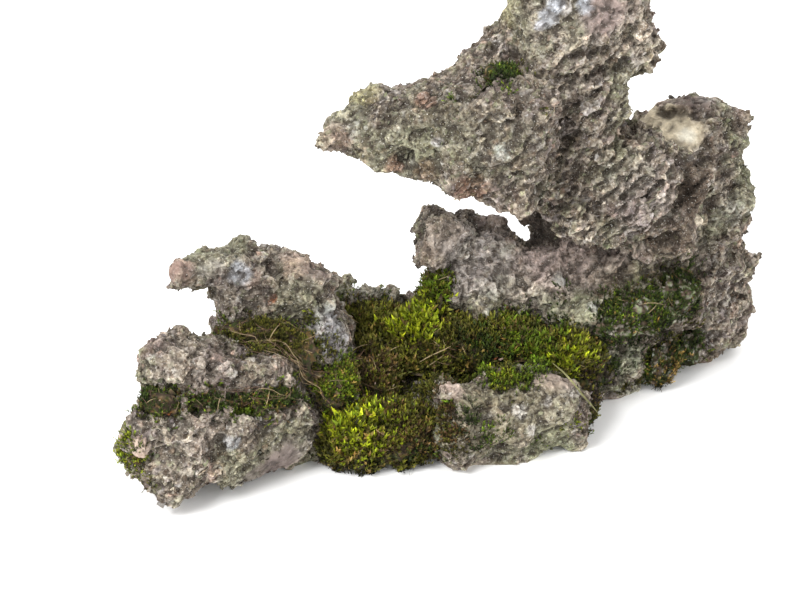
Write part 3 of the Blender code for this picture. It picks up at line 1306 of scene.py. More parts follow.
@dataclass
class Chunks:
    """Angular lumps and flat plates that are fused to the stone.

    Attributes:
        lumps: how many lumps there are.
        plates: how many plates there are, all of them where the stone is ledged.
        smallest: the smallest lump's width.
        largest: the largest lump's width.
        plate: the widest plate's width.
        kinds: how many different shapes there are.
    """

    lumps: int = 2600
    plates: int = 1500
    smallest: float = 3.6
    largest: float = 12.0
    plate: float = 15.0
    kinds: int = 20

    def shapes(self, rng: Generator) -> list[Surface]:
        """Makes the angular shapes that the lumps, plates and loose grains are copies of.

        Args:
            rng: the random source.

        Returns:
            The shapes, about one millimetre wide.
        """
        made = []
        for _ in range(self.kinds):
            bm = bmesh.new()
            for _ in range(9):
                way = rng.normal(size=3)
                bm.verts.new(way / np.linalg.norm(way) * rng.uniform(0.40, 0.54))
            hull = bmesh.ops.convex_hull(bm, input=bm.verts)
            bmesh.ops.delete(bm, geom=[v for v in hull["geom_interior"] if v.is_valid], context="VERTS")
            bmesh.ops.recalc_face_normals(bm, faces=bm.faces)
            mesh = bpy.data.meshes.new("angular_shape")
            bm.to_mesh(mesh)
            bm.free()
            shape = read_surface(mesh)
            shape.points *= MM
            bpy.data.meshes.remove(mesh)
            made.append(shape)
        return made

    def build(self, surface: Surface, calm: Array, ledged: Array,
              lean: Array) -> tuple[Surface, Array]:
        """Scatters the lumps and plates over the stone.

        Args:
            surface: the stone.
            calm: how smooth each of its points is.
            ledged: how ledged each of its points is.
            lean: the way across the ledges.

        Returns:
            The lumps and plates, and their middles.
        """
        rng = np.random.default_rng(41)
        quiet = calm[surface.faces].mean(axis=1)
        layered = ledged[surface.faces].mean(axis=1)
        shapes = self.shapes(rng)
        rough = (1.0 - 0.97 * quiet) * (1.0 - 0.75 * layered) + TINY
        places, ways = sample_faces(surface, rng, self.lumps, rough)
        width = self.smallest + (self.largest - self.smallest) * rng.random(self.lumps) ** 2.2
        sizes = width[:, None] * rng.uniform(0.7, 1.2, (self.lumps, 3))
        middles = places - ways * width[:, None] * rng.uniform(0.16, 0.34, (self.lumps, 1))
        axes = unit(rng.normal(size=(self.lumps, 3)))
        picks = rng.integers(0, self.kinds, self.lumps)
        lumps = scatter(shapes, picks, middles, turns(rng, axes), sizes, np.ones((self.lumps, 3)))
        places, ways = sample_faces(surface, rng, self.plates, layered * (1.0 - 0.97 * quiet) + TINY)
        width = self.plate * rng.uniform(0.4, 1.0, self.plates)
        sizes = width[:, None] * np.array((1.0, 0.75, 0.30)) * rng.uniform(0.8, 1.2, (self.plates, 3))
        flat = places - ways * width[:, None] * rng.uniform(0.06, 0.26, (self.plates, 1))
        axes = unit(lean + rng.normal(size=(self.plates, 3)) * 0.2)
        picks = rng.integers(0, self.kinds, self.plates)
        plates = scatter(shapes, picks, flat, turns(rng, axes), sizes, np.ones((self.plates, 3)))
        return join([lumps, plates]), np.concatenate([middles, flat])


@dataclass
class Stone:
    """The stone's skin: lumps, ledges, cracks and grains raised on its solid.

    Attributes:
        voxel: the skin's spacing while its ledges are raised.
        fine_voxel: the skin's spacing while its grains are raised.
        triangles: how many triangles the skin keeps.
        middle: where its two halves meet.
        inset: how far the skin is drawn in, to make room for the lumps.
        ledge_gap: how far apart the ledges are.
        ledge_rise: how far a ledge stands out.
        ledge_lean: the way across the ledges.
        ledge_middle: the middle of the part that is most ledged.
        ledge_reach: how far the ledged part reaches.
        block: the width of the angular blocks.
        coarse: the width of the coarse grains.
        fine: the width of the fine grains.
        pit: sets how much a small hollow is darkened with grime and painted shade, and a small crest
            lightened with painted highlight.
        hollow: sets how much a wide hollow is darkened with grime and painted shade, and a wide crest
            lightened with painted highlight.
        groove_grime_and_shade: how deep a groove is where it is darkened most with grime and painted shade.
    """

    voxel: float = 1.8
    fine_voxel: float = 0.95
    triangles: int = 298000
    middle: float = 44.0
    inset: float = 0.7
    ledge_gap: float = 7.0
    ledge_rise: float = 4.4
    ledge_lean: tuple[float, float, float] = LEDGE_LEAN
    ledge_middle: tuple[float, float, float] = (104.0, 6.0, 150.0)
    ledge_reach: float = 62.0
    block: float = 13.0
    coarse: float = 5.0
    fine: float = 2.1
    pit: float = 0.38
    hollow: float = 1.8
    groove_grime_and_shade: float = 4.0

    def lean(self) -> Array:
        """The way across the ledges, one long."""
        return np.array(self.ledge_lean) / np.linalg.norm(self.ledge_lean)

    def flaked(self, points: Array, flatness: float) -> Array:
        """Stretches space across the ledges, so that what is even in it comes out as flat flakes.

        Args:
            points: places in millimetres.
            flatness: how much wider than thick they come out.

        Returns:
            The stretched places, a little warped.
        """
        lean = self.lean()
        return points + (flatness - 1.0) * (points @ lean)[:, None] * lean + 1.3 * wander(points, 60, 4.0)

    def ledged(self, points: Array) -> Array:
        """How ledged the stone is.

        Args:
            points: places in millimetres.

        Returns:
            Numbers from 0 to 1.
        """
        far = np.linalg.norm(points - np.array(self.ledge_middle), axis=1) / self.ledge_reach
        return np.clip(1.7 - 1.2 * far, 0.0, 1.0)

    def facets(self, points: Array, seed: int, size: float, flatness: float, rise: float,
               crevice: float) -> Array:
        """How far angular blocks raise each point, each block with a height and a tilt of its own.

        Args:
            points: places in millimetres.
            seed: sets one layer of blocks apart from another.
            size: the blocks' width.
            flatness: how much wider than thick they are.
            rise: how far they stand out or in.
            crevice: how deep the gaps between them are.

        Returns:
            Millimetres.
        """
        maker = RandomField(seed)
        edge, arm, owner = maker.cells(self.flaked(points, flatness), size)
        tilt = np.stack([maker.draw(owner, channel) - 0.5 for channel in (5, 6, 7)], axis=1)
        height = (maker.draw(owner, 8) - 0.5) * 1.4 + (tilt * arm).sum(axis=1) / size * 2.4
        gap = np.clip(1.0 - edge / 0.12, 0.0, 1.0)
        return rise * height - crevice * gap

    def ledges(self, points: Array) -> Array:
        """How far the ledges, blocks and lumps raise each point.

        Args:
            points: places in millimetres.

        Returns:
            Millimetres.
        """
        warp = RandomField(21).fractal(points, 22.0)
        step = (points @ self.lean()) / self.ledge_gap + 1.3 * warp
        saw = (1.0 - (step - np.floor(step))) ** 1.5
        ledged = self.ledged(points)
        lumps = RandomField(22).fractal(points, 13.0)
        total = self.ledge_rise * (0.15 + 0.85 * ledged) * (saw - 0.45) + 1.2 * lumps
        return total + (1.0 - 0.5 * ledged) * self.facets(points, 23, self.block, 1.2, 1.9, 1.5)

    def grains(self, points: Array) -> Array:
        """How far the grains raise each point.

        Args:
            points: places in millimetres.

        Returns:
            Millimetres.
        """
        ledged = self.ledged(points)
        total = (1.0 - 0.6 * ledged) * self.facets(points, 31, self.coarse, 1.4, 0.45, 0.3)
        total += (1.0 - ledged) * self.facets(points, 32, self.fine, 1.3, 0.36, 0.2)
        total += ledged * self.facets(points, 33, self.fine * 1.6, 2.8, 0.5, 0.3)
        return total + 0.25 * RandomField(34).fractal(points, 2.2, 2)

    def flatten(self, surface: Surface, colours: StoneColours) -> Array:
        """How far each point moves to make the calm patches flat.

        Args:
            surface: the skin.
            colours: the stone's colours.

        Returns:
            Millimetres.
        """
        normals = point_normals(surface)
        total = np.zeros(len(surface.points))
        for patch, middle in colours.found:
            near = np.linalg.norm(surface.points - middle, axis=1) < patch.reach * 1.5
            if patch.calm < 0.3 or not near.any():
                continue
            way = normals[near].mean(axis=0)
            way /= np.linalg.norm(way)
            level = (surface.points[near] - surface.points[near].mean(axis=0)) @ way
            share = 0.7 * patch.calm * StoneColours.cover(surface.points[near], patch, middle)
            total[near] -= np.clip(level, -5.0, 5.0) * share
        return total

    def carve(self, points: Array, lines: list[Array]) -> Array:
        """How deep the grooves are at each point.

        Args:
            points: places in millimetres.
            lines: the points that each groove passes.

        Returns:
            Millimetres.
        """
        total = np.zeros(len(points))
        for groove, line in zip(GROOVES, lines):
            reach = groove.width * 2.5
            box = ((points > line.min(axis=0) - reach) & (points < line.max(axis=0) + reach)).all(axis=1)
            inside = np.nonzero(box)[0]
            nearest = np.full(len(inside), 99.0)
            for place in line:
                nearest = np.minimum(nearest, np.linalg.norm(points[inside] - place, axis=1))
            uneven = 0.75 + 0.5 * RandomField(61).fractal(points[inside], 7.0, 2)
            depth = groove.depth * uneven * np.exp(-((nearest / groove.width) ** 2))
            total[inside] = np.maximum(total[inside], depth)
        return total

    def fuse_knobs(self, work: Object, lookout: Lookout, tree: BVHTree) -> None:
        """Adds the knobs to the solid.

        Args:
            work: a copy of the stone's solid.
            lookout: the camera.
            tree: the search tree of the stone.
        """
        bm = bmesh.new()
        bm.from_mesh(work.data)
        for knob, place, normal in lookout.locate(tree, KNOBS):
            middle = Vector(place + normal * knob.proud) * MM
            shape = Matrix.Translation(middle) @ Matrix.Diagonal((*(Vector(knob.size) * MM), 1.0))
            bmesh.ops.create_icosphere(bm, subdivisions=2, radius=0.5, matrix=shape)
        bm.to_mesh(work.data)
        bm.free()

    def build(self, node: Object, lookout: Lookout, tree: BVHTree, colours: StoneColours,
              material: Material) -> Surface:
        """Makes the skin, as two pieces.

        Args:
            node: the stone's solid.
            lookout: the camera.
            tree: the search tree of the stone.
            colours: the stone's colours.
            material: the skin's material.

        Returns:
            The whole skin.
        """
        lines = [lookout.trace(tree, groove.path, 4.0) for groove in GROOVES]
        work = scratch_copy(node, "stone_work")
        self.fuse_knobs(work, lookout, tree)
        remesh(work, self.voxel)
        surface = read_surface(work.data)
        points = surface.points
        calm = colours.calm(points)
        fade = above_floor(points, 0.5, 2.5)
        raised = (self.ledges(points) - self.inset) * (1.0 - 0.9 * calm) + self.flatten(surface, colours)
        carved = self.carve(points, lines)
        push(work, (raised - carved) * fade)
        surface = read_surface(work.data)
        bpy.data.objects.remove(work)
        bare = np.maximum(calm, np.clip(carved / self.groove_grime_and_shade, 0.0, 1.0))
        chunks, middles = Chunks().build(surface, bare, self.ledged(points), self.lean())
        work = join([surface, chunks]).to_piece("stone_fused", material)
        remesh(work, self.fine_voxel)
        points = read_surface(work.data).points
        fade = above_floor(points, 0.3, 1.5)
        push(work, self.grains(points) * (1.0 - 0.85 * colours.calm(points)) * fade)
        thin_out(work, self.triangles)
        surface = read_surface(work.data)
        bpy.data.objects.remove(work)
        surface.lift(0.0)
        surface.tints = self.dress(surface, colours, lines, middles)
        left = surface.middles()[:, 0] < self.middle
        for side, kept in ((Side.LEFT, left), (Side.RIGHT, ~left)):
            piece = surface.part(kept).to_piece(f"stone_{side.value}", material)
            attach(piece, "root")
            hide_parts("rock")
            log.info("%s: %d triangles", piece.name, len(piece.data.polygons))
        return surface

    def dress(self, surface: Surface, colours: StoneColours, lines: list[Array],
              middles: Array) -> Array:
        """Colours the skin chunk by chunk and grain by grain, with grime and painted shade where it is sunken
        and painted highlight on its crests.

        Args:
            surface: the skin.
            colours: the stone's colours.
            lines: the points that each groove passes.
            middles: the middles of the chunks.

        Returns:
            One colour a row, and how grained it is.
        """
        own = RandomField(33).draw_for(nearest_of(middles, surface.points))
        _, _, fine = RandomField(32).cells(self.flaked(surface.points, 1.3), self.fine)
        tints = 0.4 * colours.tint(surface.points, own)
        tints += 0.6 * colours.tint(surface.points, RandomField(32).draw(fine, 8))
        # Sunken points and grooves are darkened towards DARK, partly grime and partly painted shade.
        sunk = np.clip(hollowness(surface) / self.pit, -1.0, 1.0)[:, None]
        deep = np.clip(hollowness(surface, 16) / self.hollow, -1.0, 1.0)[:, None]
        grime_and_shade = np.maximum(np.clip(sunk * 1.2, 0.0, 1.0) * 0.8, np.clip(deep * 1.2, 0.0, 0.6))
        carved = self.carve(surface.points, lines) / self.groove_grime_and_shade
        grime_and_shade = np.maximum(grime_and_shade, np.clip(carved - 0.15, 0.0, 0.8)[:, None])
        tints = tints * (1.0 - grime_and_shade) + np.array(DARK) * grime_and_shade
        # Painted highlight: crests are lightened.
        tints = tints * (1.0 + 0.3 * np.clip(-sunk, 0.0, 1.0) + 0.35 * np.clip(-deep, 0.0, 1.0))
        grained = 1.0 - 0.9 * colours.calm(surface.points)
        return np.concatenate([tints, grained[:, None]], axis=1)


@dataclass
class LooseGrains:
    """Angular grains and thin flakes that stand on the skin.

    Attributes:
        count: how many grains stand on one half of the stone.
        smallest: the smallest grain's width.
        largest: the largest grain's width.
        middle: where the two halves meet along the stone.
        flaky_from: from where along the stone most grains are flakes.
        flaky: the share of flakes before and after that.
        flake_shape: how much wider and how thick a flake is.
    """

    count: int = 6600
    smallest: float = 1.2
    largest: float = 4.6
    middle: float = 30.0
    flaky_from: float = 60.0
    flaky: tuple[float, float] = (0.2, 0.65)
    flake_shape: tuple[float, float] = (1.5, 0.36)

    def build(self, side: Side, skin: Surface, moss: list[BVHTree], colours: StoneColours,
              material: Material) -> Object:
        """Makes the grains of one half.

        Args:
            side: which half.
            skin: the stone's skin.
            moss: the search trees of the moss, under which no grain is needed.
            colours: the stone's colours.
            material: the grains' material.

        Returns:
            The grains, as one piece.
        """
        rng = np.random.default_rng(11 if side is Side.LEFT else 12)
        middles = skin.middles()
        left = middles[:, 0] < self.middle
        weights = (left if side is Side.LEFT else ~left).astype(float)
        weights *= np.where(unit(skin.across())[:, 1] > 0.5, 0.35, 1.0) * (middles[:, 2] > 2.0)
        weights *= 1.0 - 0.9 * colours.calm(middles)
        weights += TINY
        count = self.count // 1
        places, ways = sample_faces(skin, rng, count, weights)
        kept = np.array([not any(is_inside(tree, place) for tree in moss) for place in places])
        places, ways = places[kept], ways[kept]
        count = len(places)
        flaky = rng.random(count) < np.where(places[:, 0] > self.flaky_from, self.flaky[1], self.flaky[0])
        flat = np.array(LEDGE_LEAN) + rng.normal(size=(count, 3)) * 0.35
        loose = ways + rng.normal(size=(count, 3)) * 0.6
        axes = unit(np.where(flaky[:, None], flat, loose))
        width = self.smallest + (self.largest - self.smallest) * rng.random(count) ** 3.0
        sizes = width[:, None] * rng.uniform(0.75, 1.25, (count, 3))
        sizes[:, 2] *= np.where(flaky, self.flake_shape[1], 0.85)
        sizes[flaky, :2] *= self.flake_shape[0]
        tints = colours.tint(places, rng.random(count)) * rng.uniform(0.75, 1.3, (count, 1))
        places = places - ways * width[:, None] * 0.08
        places[:, 2] = np.maximum(places[:, 2], width * 0.8)
        maker = Chunks()
        shapes, picks = maker.shapes(rng), rng.integers(0, maker.kinds, count)
        joined = scatter(shapes, picks, places, turns(rng, axes), sizes, tints)
        joined.lift(0.05)
        piece = joined.to_piece(f"grains_{side.value}", material)
        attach(piece, "root")
        return piece


# The moss


BRIGHT: Colour = (0.31, 0.36, 0.012)
FRESH: Colour = (0.14, 0.21, 0.010)
OLIVE: Colour = (0.125, 0.122, 0.014)
DEEP: Colour = (0.050, 0.078, 0.009)
RUSSET: Colour = (0.115, 0.070, 0.024)
GOLDEN: Colour = (0.40, 0.27, 0.075)
HUMUS: Colour = (0.040, 0.027, 0.017)
HUMUS_BITS: Shares = (
    (HUMUS, 45.0), (RUSSET, 14.0), ((0.03, 0.04, 0.008), 30.0), ((0.13, 0.09, 0.05), 8.0),
    ((0.22, 0.17, 0.10), 3.0),
)
STONY_BITS: Shares = (
    (HUMUS, 20.0), ((0.03, 0.04, 0.008), 27.0), (BROWN, 22.0), (GREY, 15.0), (LICHEN, 10.0), (PALE, 4.5),
    ((0.36, 0.38, 0.33), 1.5),
)


@dataclass(frozen=True)
class Glade(Pinned):
    """A stretch of the moss that has its own colour.

    Attributes:
        reach: its radius in millimetres.
        colour: its colour.
        amount: how much of the moss there has it.
        tall: how much taller it is than the rest.
    """

    reach: float
    colour: Colour
    amount: float = 0.8
    tall: float = 1.0


GLADES: tuple[Glade, ...] = tuple(Glade(*row) for row in (
    (418, 322, 15, BRIGHT, 0.95, 1.5), (437, 288, 11, FRESH, 0.8), (365, 415, 20, BRIGHT, 0.65, 1.25),
    (350, 440, 17, BRIGHT, 0.4, 1.15), (340, 395, 14, FRESH, 0.8), (580, 362, 13, BRIGHT, 0.7, 1.1),
    (530, 345, 18, FRESH, 0.7, 1.1), (480, 345, 12, DEEP, 0.7, 0.9), (500, 365, 12, DEEP, 0.6, 0.8),
    (380, 372, 16, RUSSET, 0.6, 0.7), (440, 368, 14, OLIVE, 0.6, 0.8), (412, 440, 15, RUSSET, 0.6, 0.7),
    (425, 455, 10, DEEP, 0.5, 0.8), (345, 470, 10, GOLDEN, 0.4, 0.8), (592, 392, 11, HUMUS, 0.95, 0.6),
    (350, 340, 10, HUMUS, 0.8, 0.6), (250, 350, 14, OLIVE, 0.5), (330, 365, 10, FRESH, 0.6),
    (130, 460, 12, BRIGHT, 0.7), (200, 395, 16, DEEP, 0.6, 0.8), (670, 375, 12, GOLDEN, 0.6),
    (640, 320, 16, FRESH, 0.5),
))


def clumped(places: Array, rng: Generator, each: int) -> tuple[Array, Array]:
    """Gathers the places that shoots stand on into clumps.

    Args:
        places: where the shoots stand.
        rng: the random source.
        each: how many shoots a clump has.

    Returns:
        The way from its clump's middle to each shoot, in millimetres, and its clump's number.
    """
    middles = places[rng.choice(len(places), size=max(len(places) // each, 1), replace=False)]
    owners = nearest_of(middles, places)
    return places - middles[owners], owners


@dataclass
class ShootMaker:
    """Makes the leafy shoots that the moss is copies of.

    Attributes:
        kinds: how many different shoots there are.
        leaves: how many leaves a shoot has.
        leaf: a leaf's length when the shoot is one long.
        width: a leaf's width when the shoot is one long.
        stem: the stem's width when the shoot is one long.
    """

    kinds: int = 12
    leaves: int = 12
    leaf: float = 0.26
    width: float = 0.115
    stem: float = 0.05

    def shapes(self, rng: Generator) -> list[Surface]:
        """Makes the shoots, each one long from its root to its tip.

        Args:
            rng: the random source.

        Returns:
            The shoots.
        """
        return [self.shoot(rng) for _ in range(self.kinds)]

    def shoot(self, rng: Generator) -> Surface:
        """Makes one shoot along +Z, bent to one side.

        Args:
            rng: the random source.

        Returns:
            The shoot, dark at its root and light and yellow at its tip: partly the moss's own colour, browner
            low down, and partly painted shade low in the cushion and painted highlight at the tips.
        """
        bend = rng.uniform(0.05, 0.5)
        points: list[Array] = []
        faces: list[tuple[int, int, int]] = []
        shades: list[float] = []

        def along(t: float) -> Array:
            """Where the stem is, from its root at 0 to its tip at 1."""
            return np.array((bend * t * t, 0.0, t * (1.0 - 0.25 * bend * t)))

        levels = (0.0, 0.55, 1.0)
        for t in levels:
            half = self.stem * 0.5 * (1.0 - 0.6 * t)
            points += [along(t) - (0.0, half, 0.0), along(t) + (0.0, half, 0.0)]
            # The stem's shade: partly own colour, partly painted shade towards the root.
            shades += [0.08 + 0.7 * t * t, 0.08 + 0.7 * t * t]
        for start in (0, 2):
            faces += [(start, start + 1, start + 3), (start, start + 3, start + 2)]
        for index in range(self.leaves):
            t = min(max(0.25 + 0.75 * (index + rng.uniform(-0.3, 0.3)) / (self.leaves - 1), 0.1), 1.0)
            angle = index * 2.4 + rng.uniform(-0.4, 0.4)
            way = np.array((math.cos(angle), math.sin(angle), 0.55 + 1.1 * t))
            way /= np.linalg.norm(way)
            side = np.cross(way, (0.0, 0.0, 1.0))
            side *= self.width / 2 / np.linalg.norm(side)
            root = along(t)
            tip = root + way * self.leaf * rng.uniform(0.75, 1.25) * (1.15 - 0.45 * t)
            start = len(points)
            points += [root - side, root + side, tip]
            # The leaf's shade: partly own colour, partly painted shade towards the root and painted highlight
            # at the tip.
            shades += [0.1 + 0.75 * t * t, 0.1 + 0.75 * t * t, 0.25 + 1.35 * t * t]
            faces.append((start, start + 1, start + 2))
        shade = np.array(shades)[:, None]
        return Surface(np.array(points), np.array(faces), shade * np.array((1.0, 1.0, 0.9)) ** (1.5 - shade))


@dataclass
class MossCushion:
    """A moss cushion: a dark humus bed and the shoots that stand in it.

    Attributes:
        node: the solid it stands for.
        growth: how tall its shoots are.
        base: its main colour.
        seed: sets its shoots apart from another's.
        shoots: how many shoots it has.
        sink: how far the humus lies below the solid's surface.
        bed_triangles: how many triangles the humus bed keeps.
        bits: the colours of the bits that the bed is made of, and how common each is.
        clump: how many shoots a clump has.
        clump_reach: a clump's radius.
        clear: how far from the stone a face of the solid has to be to carry shoots.
    """

    node: str
    growth: Growth
    base: Colour
    seed: int
    shoots: int
    sink: float = 2.6
    bed_triangles: int = 4500
    bits: Shares = HUMUS_BITS
    clump: int = 22
    clump_reach: float = 4.0
    clear: float = 0.6

    def humus(self, solid: Object, material: Material) -> None:
        """Makes the humus bed, which lies lower than the solid's surface.

        Args:
            solid: the cushion's solid.
            material: the humus's material.
        """
        work = scratch_copy(solid, "humus_work")
        remesh(work, 1.1)
        surface = read_surface(work.data)
        field_a, field_b = RandomField(self.seed), RandomField(self.seed + 40)
        rough = 2.0 * field_a.fractal(surface.points, 6.0)
        rough += 1.6 * field_b.fractal(surface.points, 13.0, 2)
        _, _, owner = field_b.cells(surface.points, 1.9)
        rough += 0.9 * (field_b.draw(owner) - 0.5)
        push(work, rough - self.sink)
        thin_out(work, self.bed_triangles)
        surface = read_surface(work.data)
        bpy.data.objects.remove(work)
        surface.lift(0.1)
        _, _, bits = field_b.cells(surface.points, 1.7)
        surface.tints = pick_shades(self.bits, field_b.draw(bits, 3))
        piece = surface.to_piece(f"{self.node}_humus", material)
        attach(piece, "root")
        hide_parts(self.node)

    def build(self, solid: Object, stone: BVHTree, glades: list[tuple[Glade, Array]],
              humus: Material, leaf: Material) -> None:
        """Makes the cushion.

        Args:
            solid: the cushion's solid.
            stone: the search tree of the stone.
            glades: the glades and their places.
            humus: the humus's material.
            leaf: the shoots' material.
        """
        self.humus(solid, humus)
        surface = read_surface(solid.data)
        rng = np.random.default_rng(self.seed)
        far = [stone.find_nearest(Vector(middle) * MM)[3] for middle in surface.middles()]
        open_air = np.array(far) > self.clear * MM
        upward = unit(surface.across())[:, 2]
        weights = open_air * np.clip(upward + 1.1, 0.02, 1.3) * (upward > -0.6) + TINY
        count = self.shoots // 1
        places, ways = sample_faces(surface, rng, int(count * 1.5), weights)
        patchy = RandomField(self.seed + 20).fractal(places, 10.0)
        kept = np.argsort(-patchy - rng.random(len(places)) * 1.2)[:count]
        places, ways, patchy = places[kept], ways[kept], patchy[kept]
        arms, owners = clumped(places, rng, self.clump)
        spread = np.clip(np.linalg.norm(arms, axis=1) / self.clump_reach, 0.0, 1.2)
        tints, tall = self.tints(places, rng, glades)
        tall *= 1.0 + 0.3 * np.clip(patchy, -1.0, 1.0)
        length = self.growth.value * tall * rng.uniform(0.6, 1.3, count) * (1.15 - 0.5 * spread**2)
        axes = ways * 0.30 + np.array((0.0, -0.05, 0.85)) + arms / self.clump_reach * 0.36
        axes = unit(axes + rng.normal(size=(count, 3)) * 0.3)
        roots = places - ways * self.sink - axes * (length * 0.55)[:, None]
        own = RandomField(self.seed + 7).draw_for(owners)
        tints = tints * (0.45 + 1.0 * own)[:, None]
        maker = ShootMaker()
        sizes = np.stack([length * 0.9, length * 0.9, length], axis=1)
        shapes, picks = maker.shapes(rng), rng.integers(0, maker.kinds, count)
        joined = scatter(shapes, picks, roots, turns(rng, axes), sizes, tints)
        joined.lift(0.15)
        piece = joined.to_piece(f"{self.node}_shoots", leaf)
        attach(piece, "root")
        log.info("%s: %d shoots, %d triangles", self.node, count, len(joined.faces))

    def tints(self, places: Array, rng: Generator,
              glades: list[tuple[Glade, Array]]) -> tuple[Array, Array]:
        """Colours the shoots, and says how tall they are where they stand.

        Args:
            places: where each shoot stands.
            rng: the random source.
            glades: the glades and their places.

        Returns:
            One colour a row, and how much taller than usual each shoot is.
        """
        count = len(places)
        tints = np.tile(np.array(self.base), (count, 1))
        tall = np.ones(count)
        for glade, middle in glades:
            distance = np.linalg.norm(places - middle, axis=1) / glade.reach
            near = np.clip(1.35 - distance, 0.0, 1.0)
            takes = rng.random(count) < glade.amount * near
            tints[takes] = glade.colour
            tall *= 1.0 + (glade.tall - 1.0) * near
        dry = rng.random(count) < 0.07
        tints[dry] = np.where(rng.random((dry.sum(), 1)) < 0.5, np.array(RUSSET), np.array(GOLDEN) * 0.8)
        return tints * rng.uniform(0.45, 1.55, (count, 1)) * rng.uniform(0.92, 1.08, (count, 3)), tall


CUSHIONS: tuple[MossCushion, ...] = (
    MossCushion("moss_bed", Growth.TALL, OLIVE, 101, 11000, 3.6, 16000),
    MossCushion("moss_cleft", Growth.SHORT, DEEP, 102, 1500, 2.6, 7000),
    MossCushion("moss_hook", Growth.SHORT, OLIVE, 103, 3200, 2.6, 9000),
    MossCushion("moss_slope", Growth.SHORT, DEEP, 104, 2400, 2.6, 10000, STONY_BITS),
    MossCushion("moss_foot", Growth.MIDDLE, DEEP, 105, 900, 2.6, 5000, STONY_BITS),
    MossCushion("moss_corner", Growth.MIDDLE, OLIVE, 106, 700),
    MossCushion("moss_rim", Growth.SHORT, FRESH, 107, 350),
    MossCushion("moss_ledge", Growth.SHORT, DEEP, 108, 350, 1.6),
)


@dataclass(frozen=True)
class Tuft(Pinned):
    """A thin patch of moss that grows straight on the stone.

    Attributes:
        reach: its radius in millimetres.
        colour: its colour.
        dense: how many shoots it has on a square millimetre.
    """

    reach: float
    colour: Colour
    dense: float = 0.30


TUFTS: tuple[Tuft, ...] = tuple(Tuft(*row) for row in (
    (235, 338, 9, OLIVE), (260, 350, 11, OLIVE), (290, 345, 10, FRESH), (310, 328, 7, OLIVE),
    (330, 350, 9, OLIVE), (348, 365, 8, FRESH), (225, 322, 6, FRESH), (309, 313, 3, BRIGHT, 0.5),
    (270, 325, 6, OLIVE, 0.2), (620, 300, 9, DEEP), (650, 305, 10, FRESH), (680, 300, 9, DEEP),
    (640, 330, 8, DEEP), (672, 345, 8, OLIVE), (615, 330, 6, DEEP), (665, 372, 8, OLIVE),
    (690, 362, 8, OLIVE), (540, 368, 7, FRESH), (562, 372, 5, FRESH), (452, 402, 4, FRESH),
    (470, 412, 6, DEEP, 0.25), (500, 434, 7, FRESH, 0.35), (535, 442, 5, FRESH, 0.2),
    (440, 420, 8, OLIVE, 0.35), (432, 440, 9, RUSSET, 0.35), (460, 442, 7, RUSSET, 0.3),
    (480, 446, 6, DEEP, 0.25), (575, 425, 6, BRIGHT, 0.3), (128, 440, 6, BRIGHT, 0.5),
    (134, 470, 6, BRIGHT, 0.5), (150, 484, 4, OLIVE), (124, 455, 5, BRIGHT, 0.6), (515, 383, 7, FRESH, 0.5),
    (500, 381, 6, BRIGHT, 0.4), (160, 395, 6, DEEP, 0.4), (200, 405, 6, DEEP, 0.4),
    (265, 400, 6, FRESH, 0.4), (237, 413, 7, FRESH, 0.8), (245, 403, 5, BRIGHT, 0.6),
    (152, 405, 7, OLIVE, 0.6), (300, 395, 6, FRESH, 0.3), (452, 100, 2, FRESH, 0.6),
    (503, 76, 6, DEEP, 0.6), (507, 92, 3, FRESH, 0.4), (475, 98, 2, OLIVE, 0.5), (540, 112, 2, OLIVE, 0.4),
    (436, 285, 8, FRESH, 0.5), (448, 312, 6, DEEP, 0.4), (505, 322, 6, FRESH, 0.35), (525, 310, 6, DEEP),
    (550, 320, 7, DEEP), (580, 335, 8, DEEP, 0.35), (603, 345, 6, DEEP, 0.4), (560, 290, 6, DEEP, 0.12),
    (600, 300, 6, DEEP, 0.2), (595, 385, 6, DEEP, 0.4), (608, 375, 6, OLIVE, 0.4),
    (420, 394, 8, OLIVE, 0.8), (438, 379, 8, OLIVE, 0.7), (430, 388, 9, OLIVE, 0.8),
    (445, 405, 8, RUSSET, 0.6), (448, 425, 9, RUSSET, 0.6), (452, 445, 8, OLIVE, 0.5),
    (470, 425, 7, DEEP, 0.35), (470, 380, 8, OLIVE, 0.7), (490, 374, 8, FRESH, 0.7),
    (508, 372, 9, OLIVE, 0.7), (528, 374, 9, FRESH, 0.6), (512, 388, 6, OLIVE, 0.3),
    (560, 376, 6, OLIVE, 0.4), (485, 438, 6, FRESH, 0.3), (432, 300, 7, DEEP, 0.5),
    (345, 292, 5, OLIVE, 0.2), (600, 325, 8, DEEP, 0.3), (690, 325, 8, OLIVE, 0.25),
    (640, 350, 8, DEEP, 0.3), (615, 360, 7, DEEP, 0.4), (625, 385, 7, OLIVE, 0.3), (690, 270, 8, DEEP, 0.2),
))


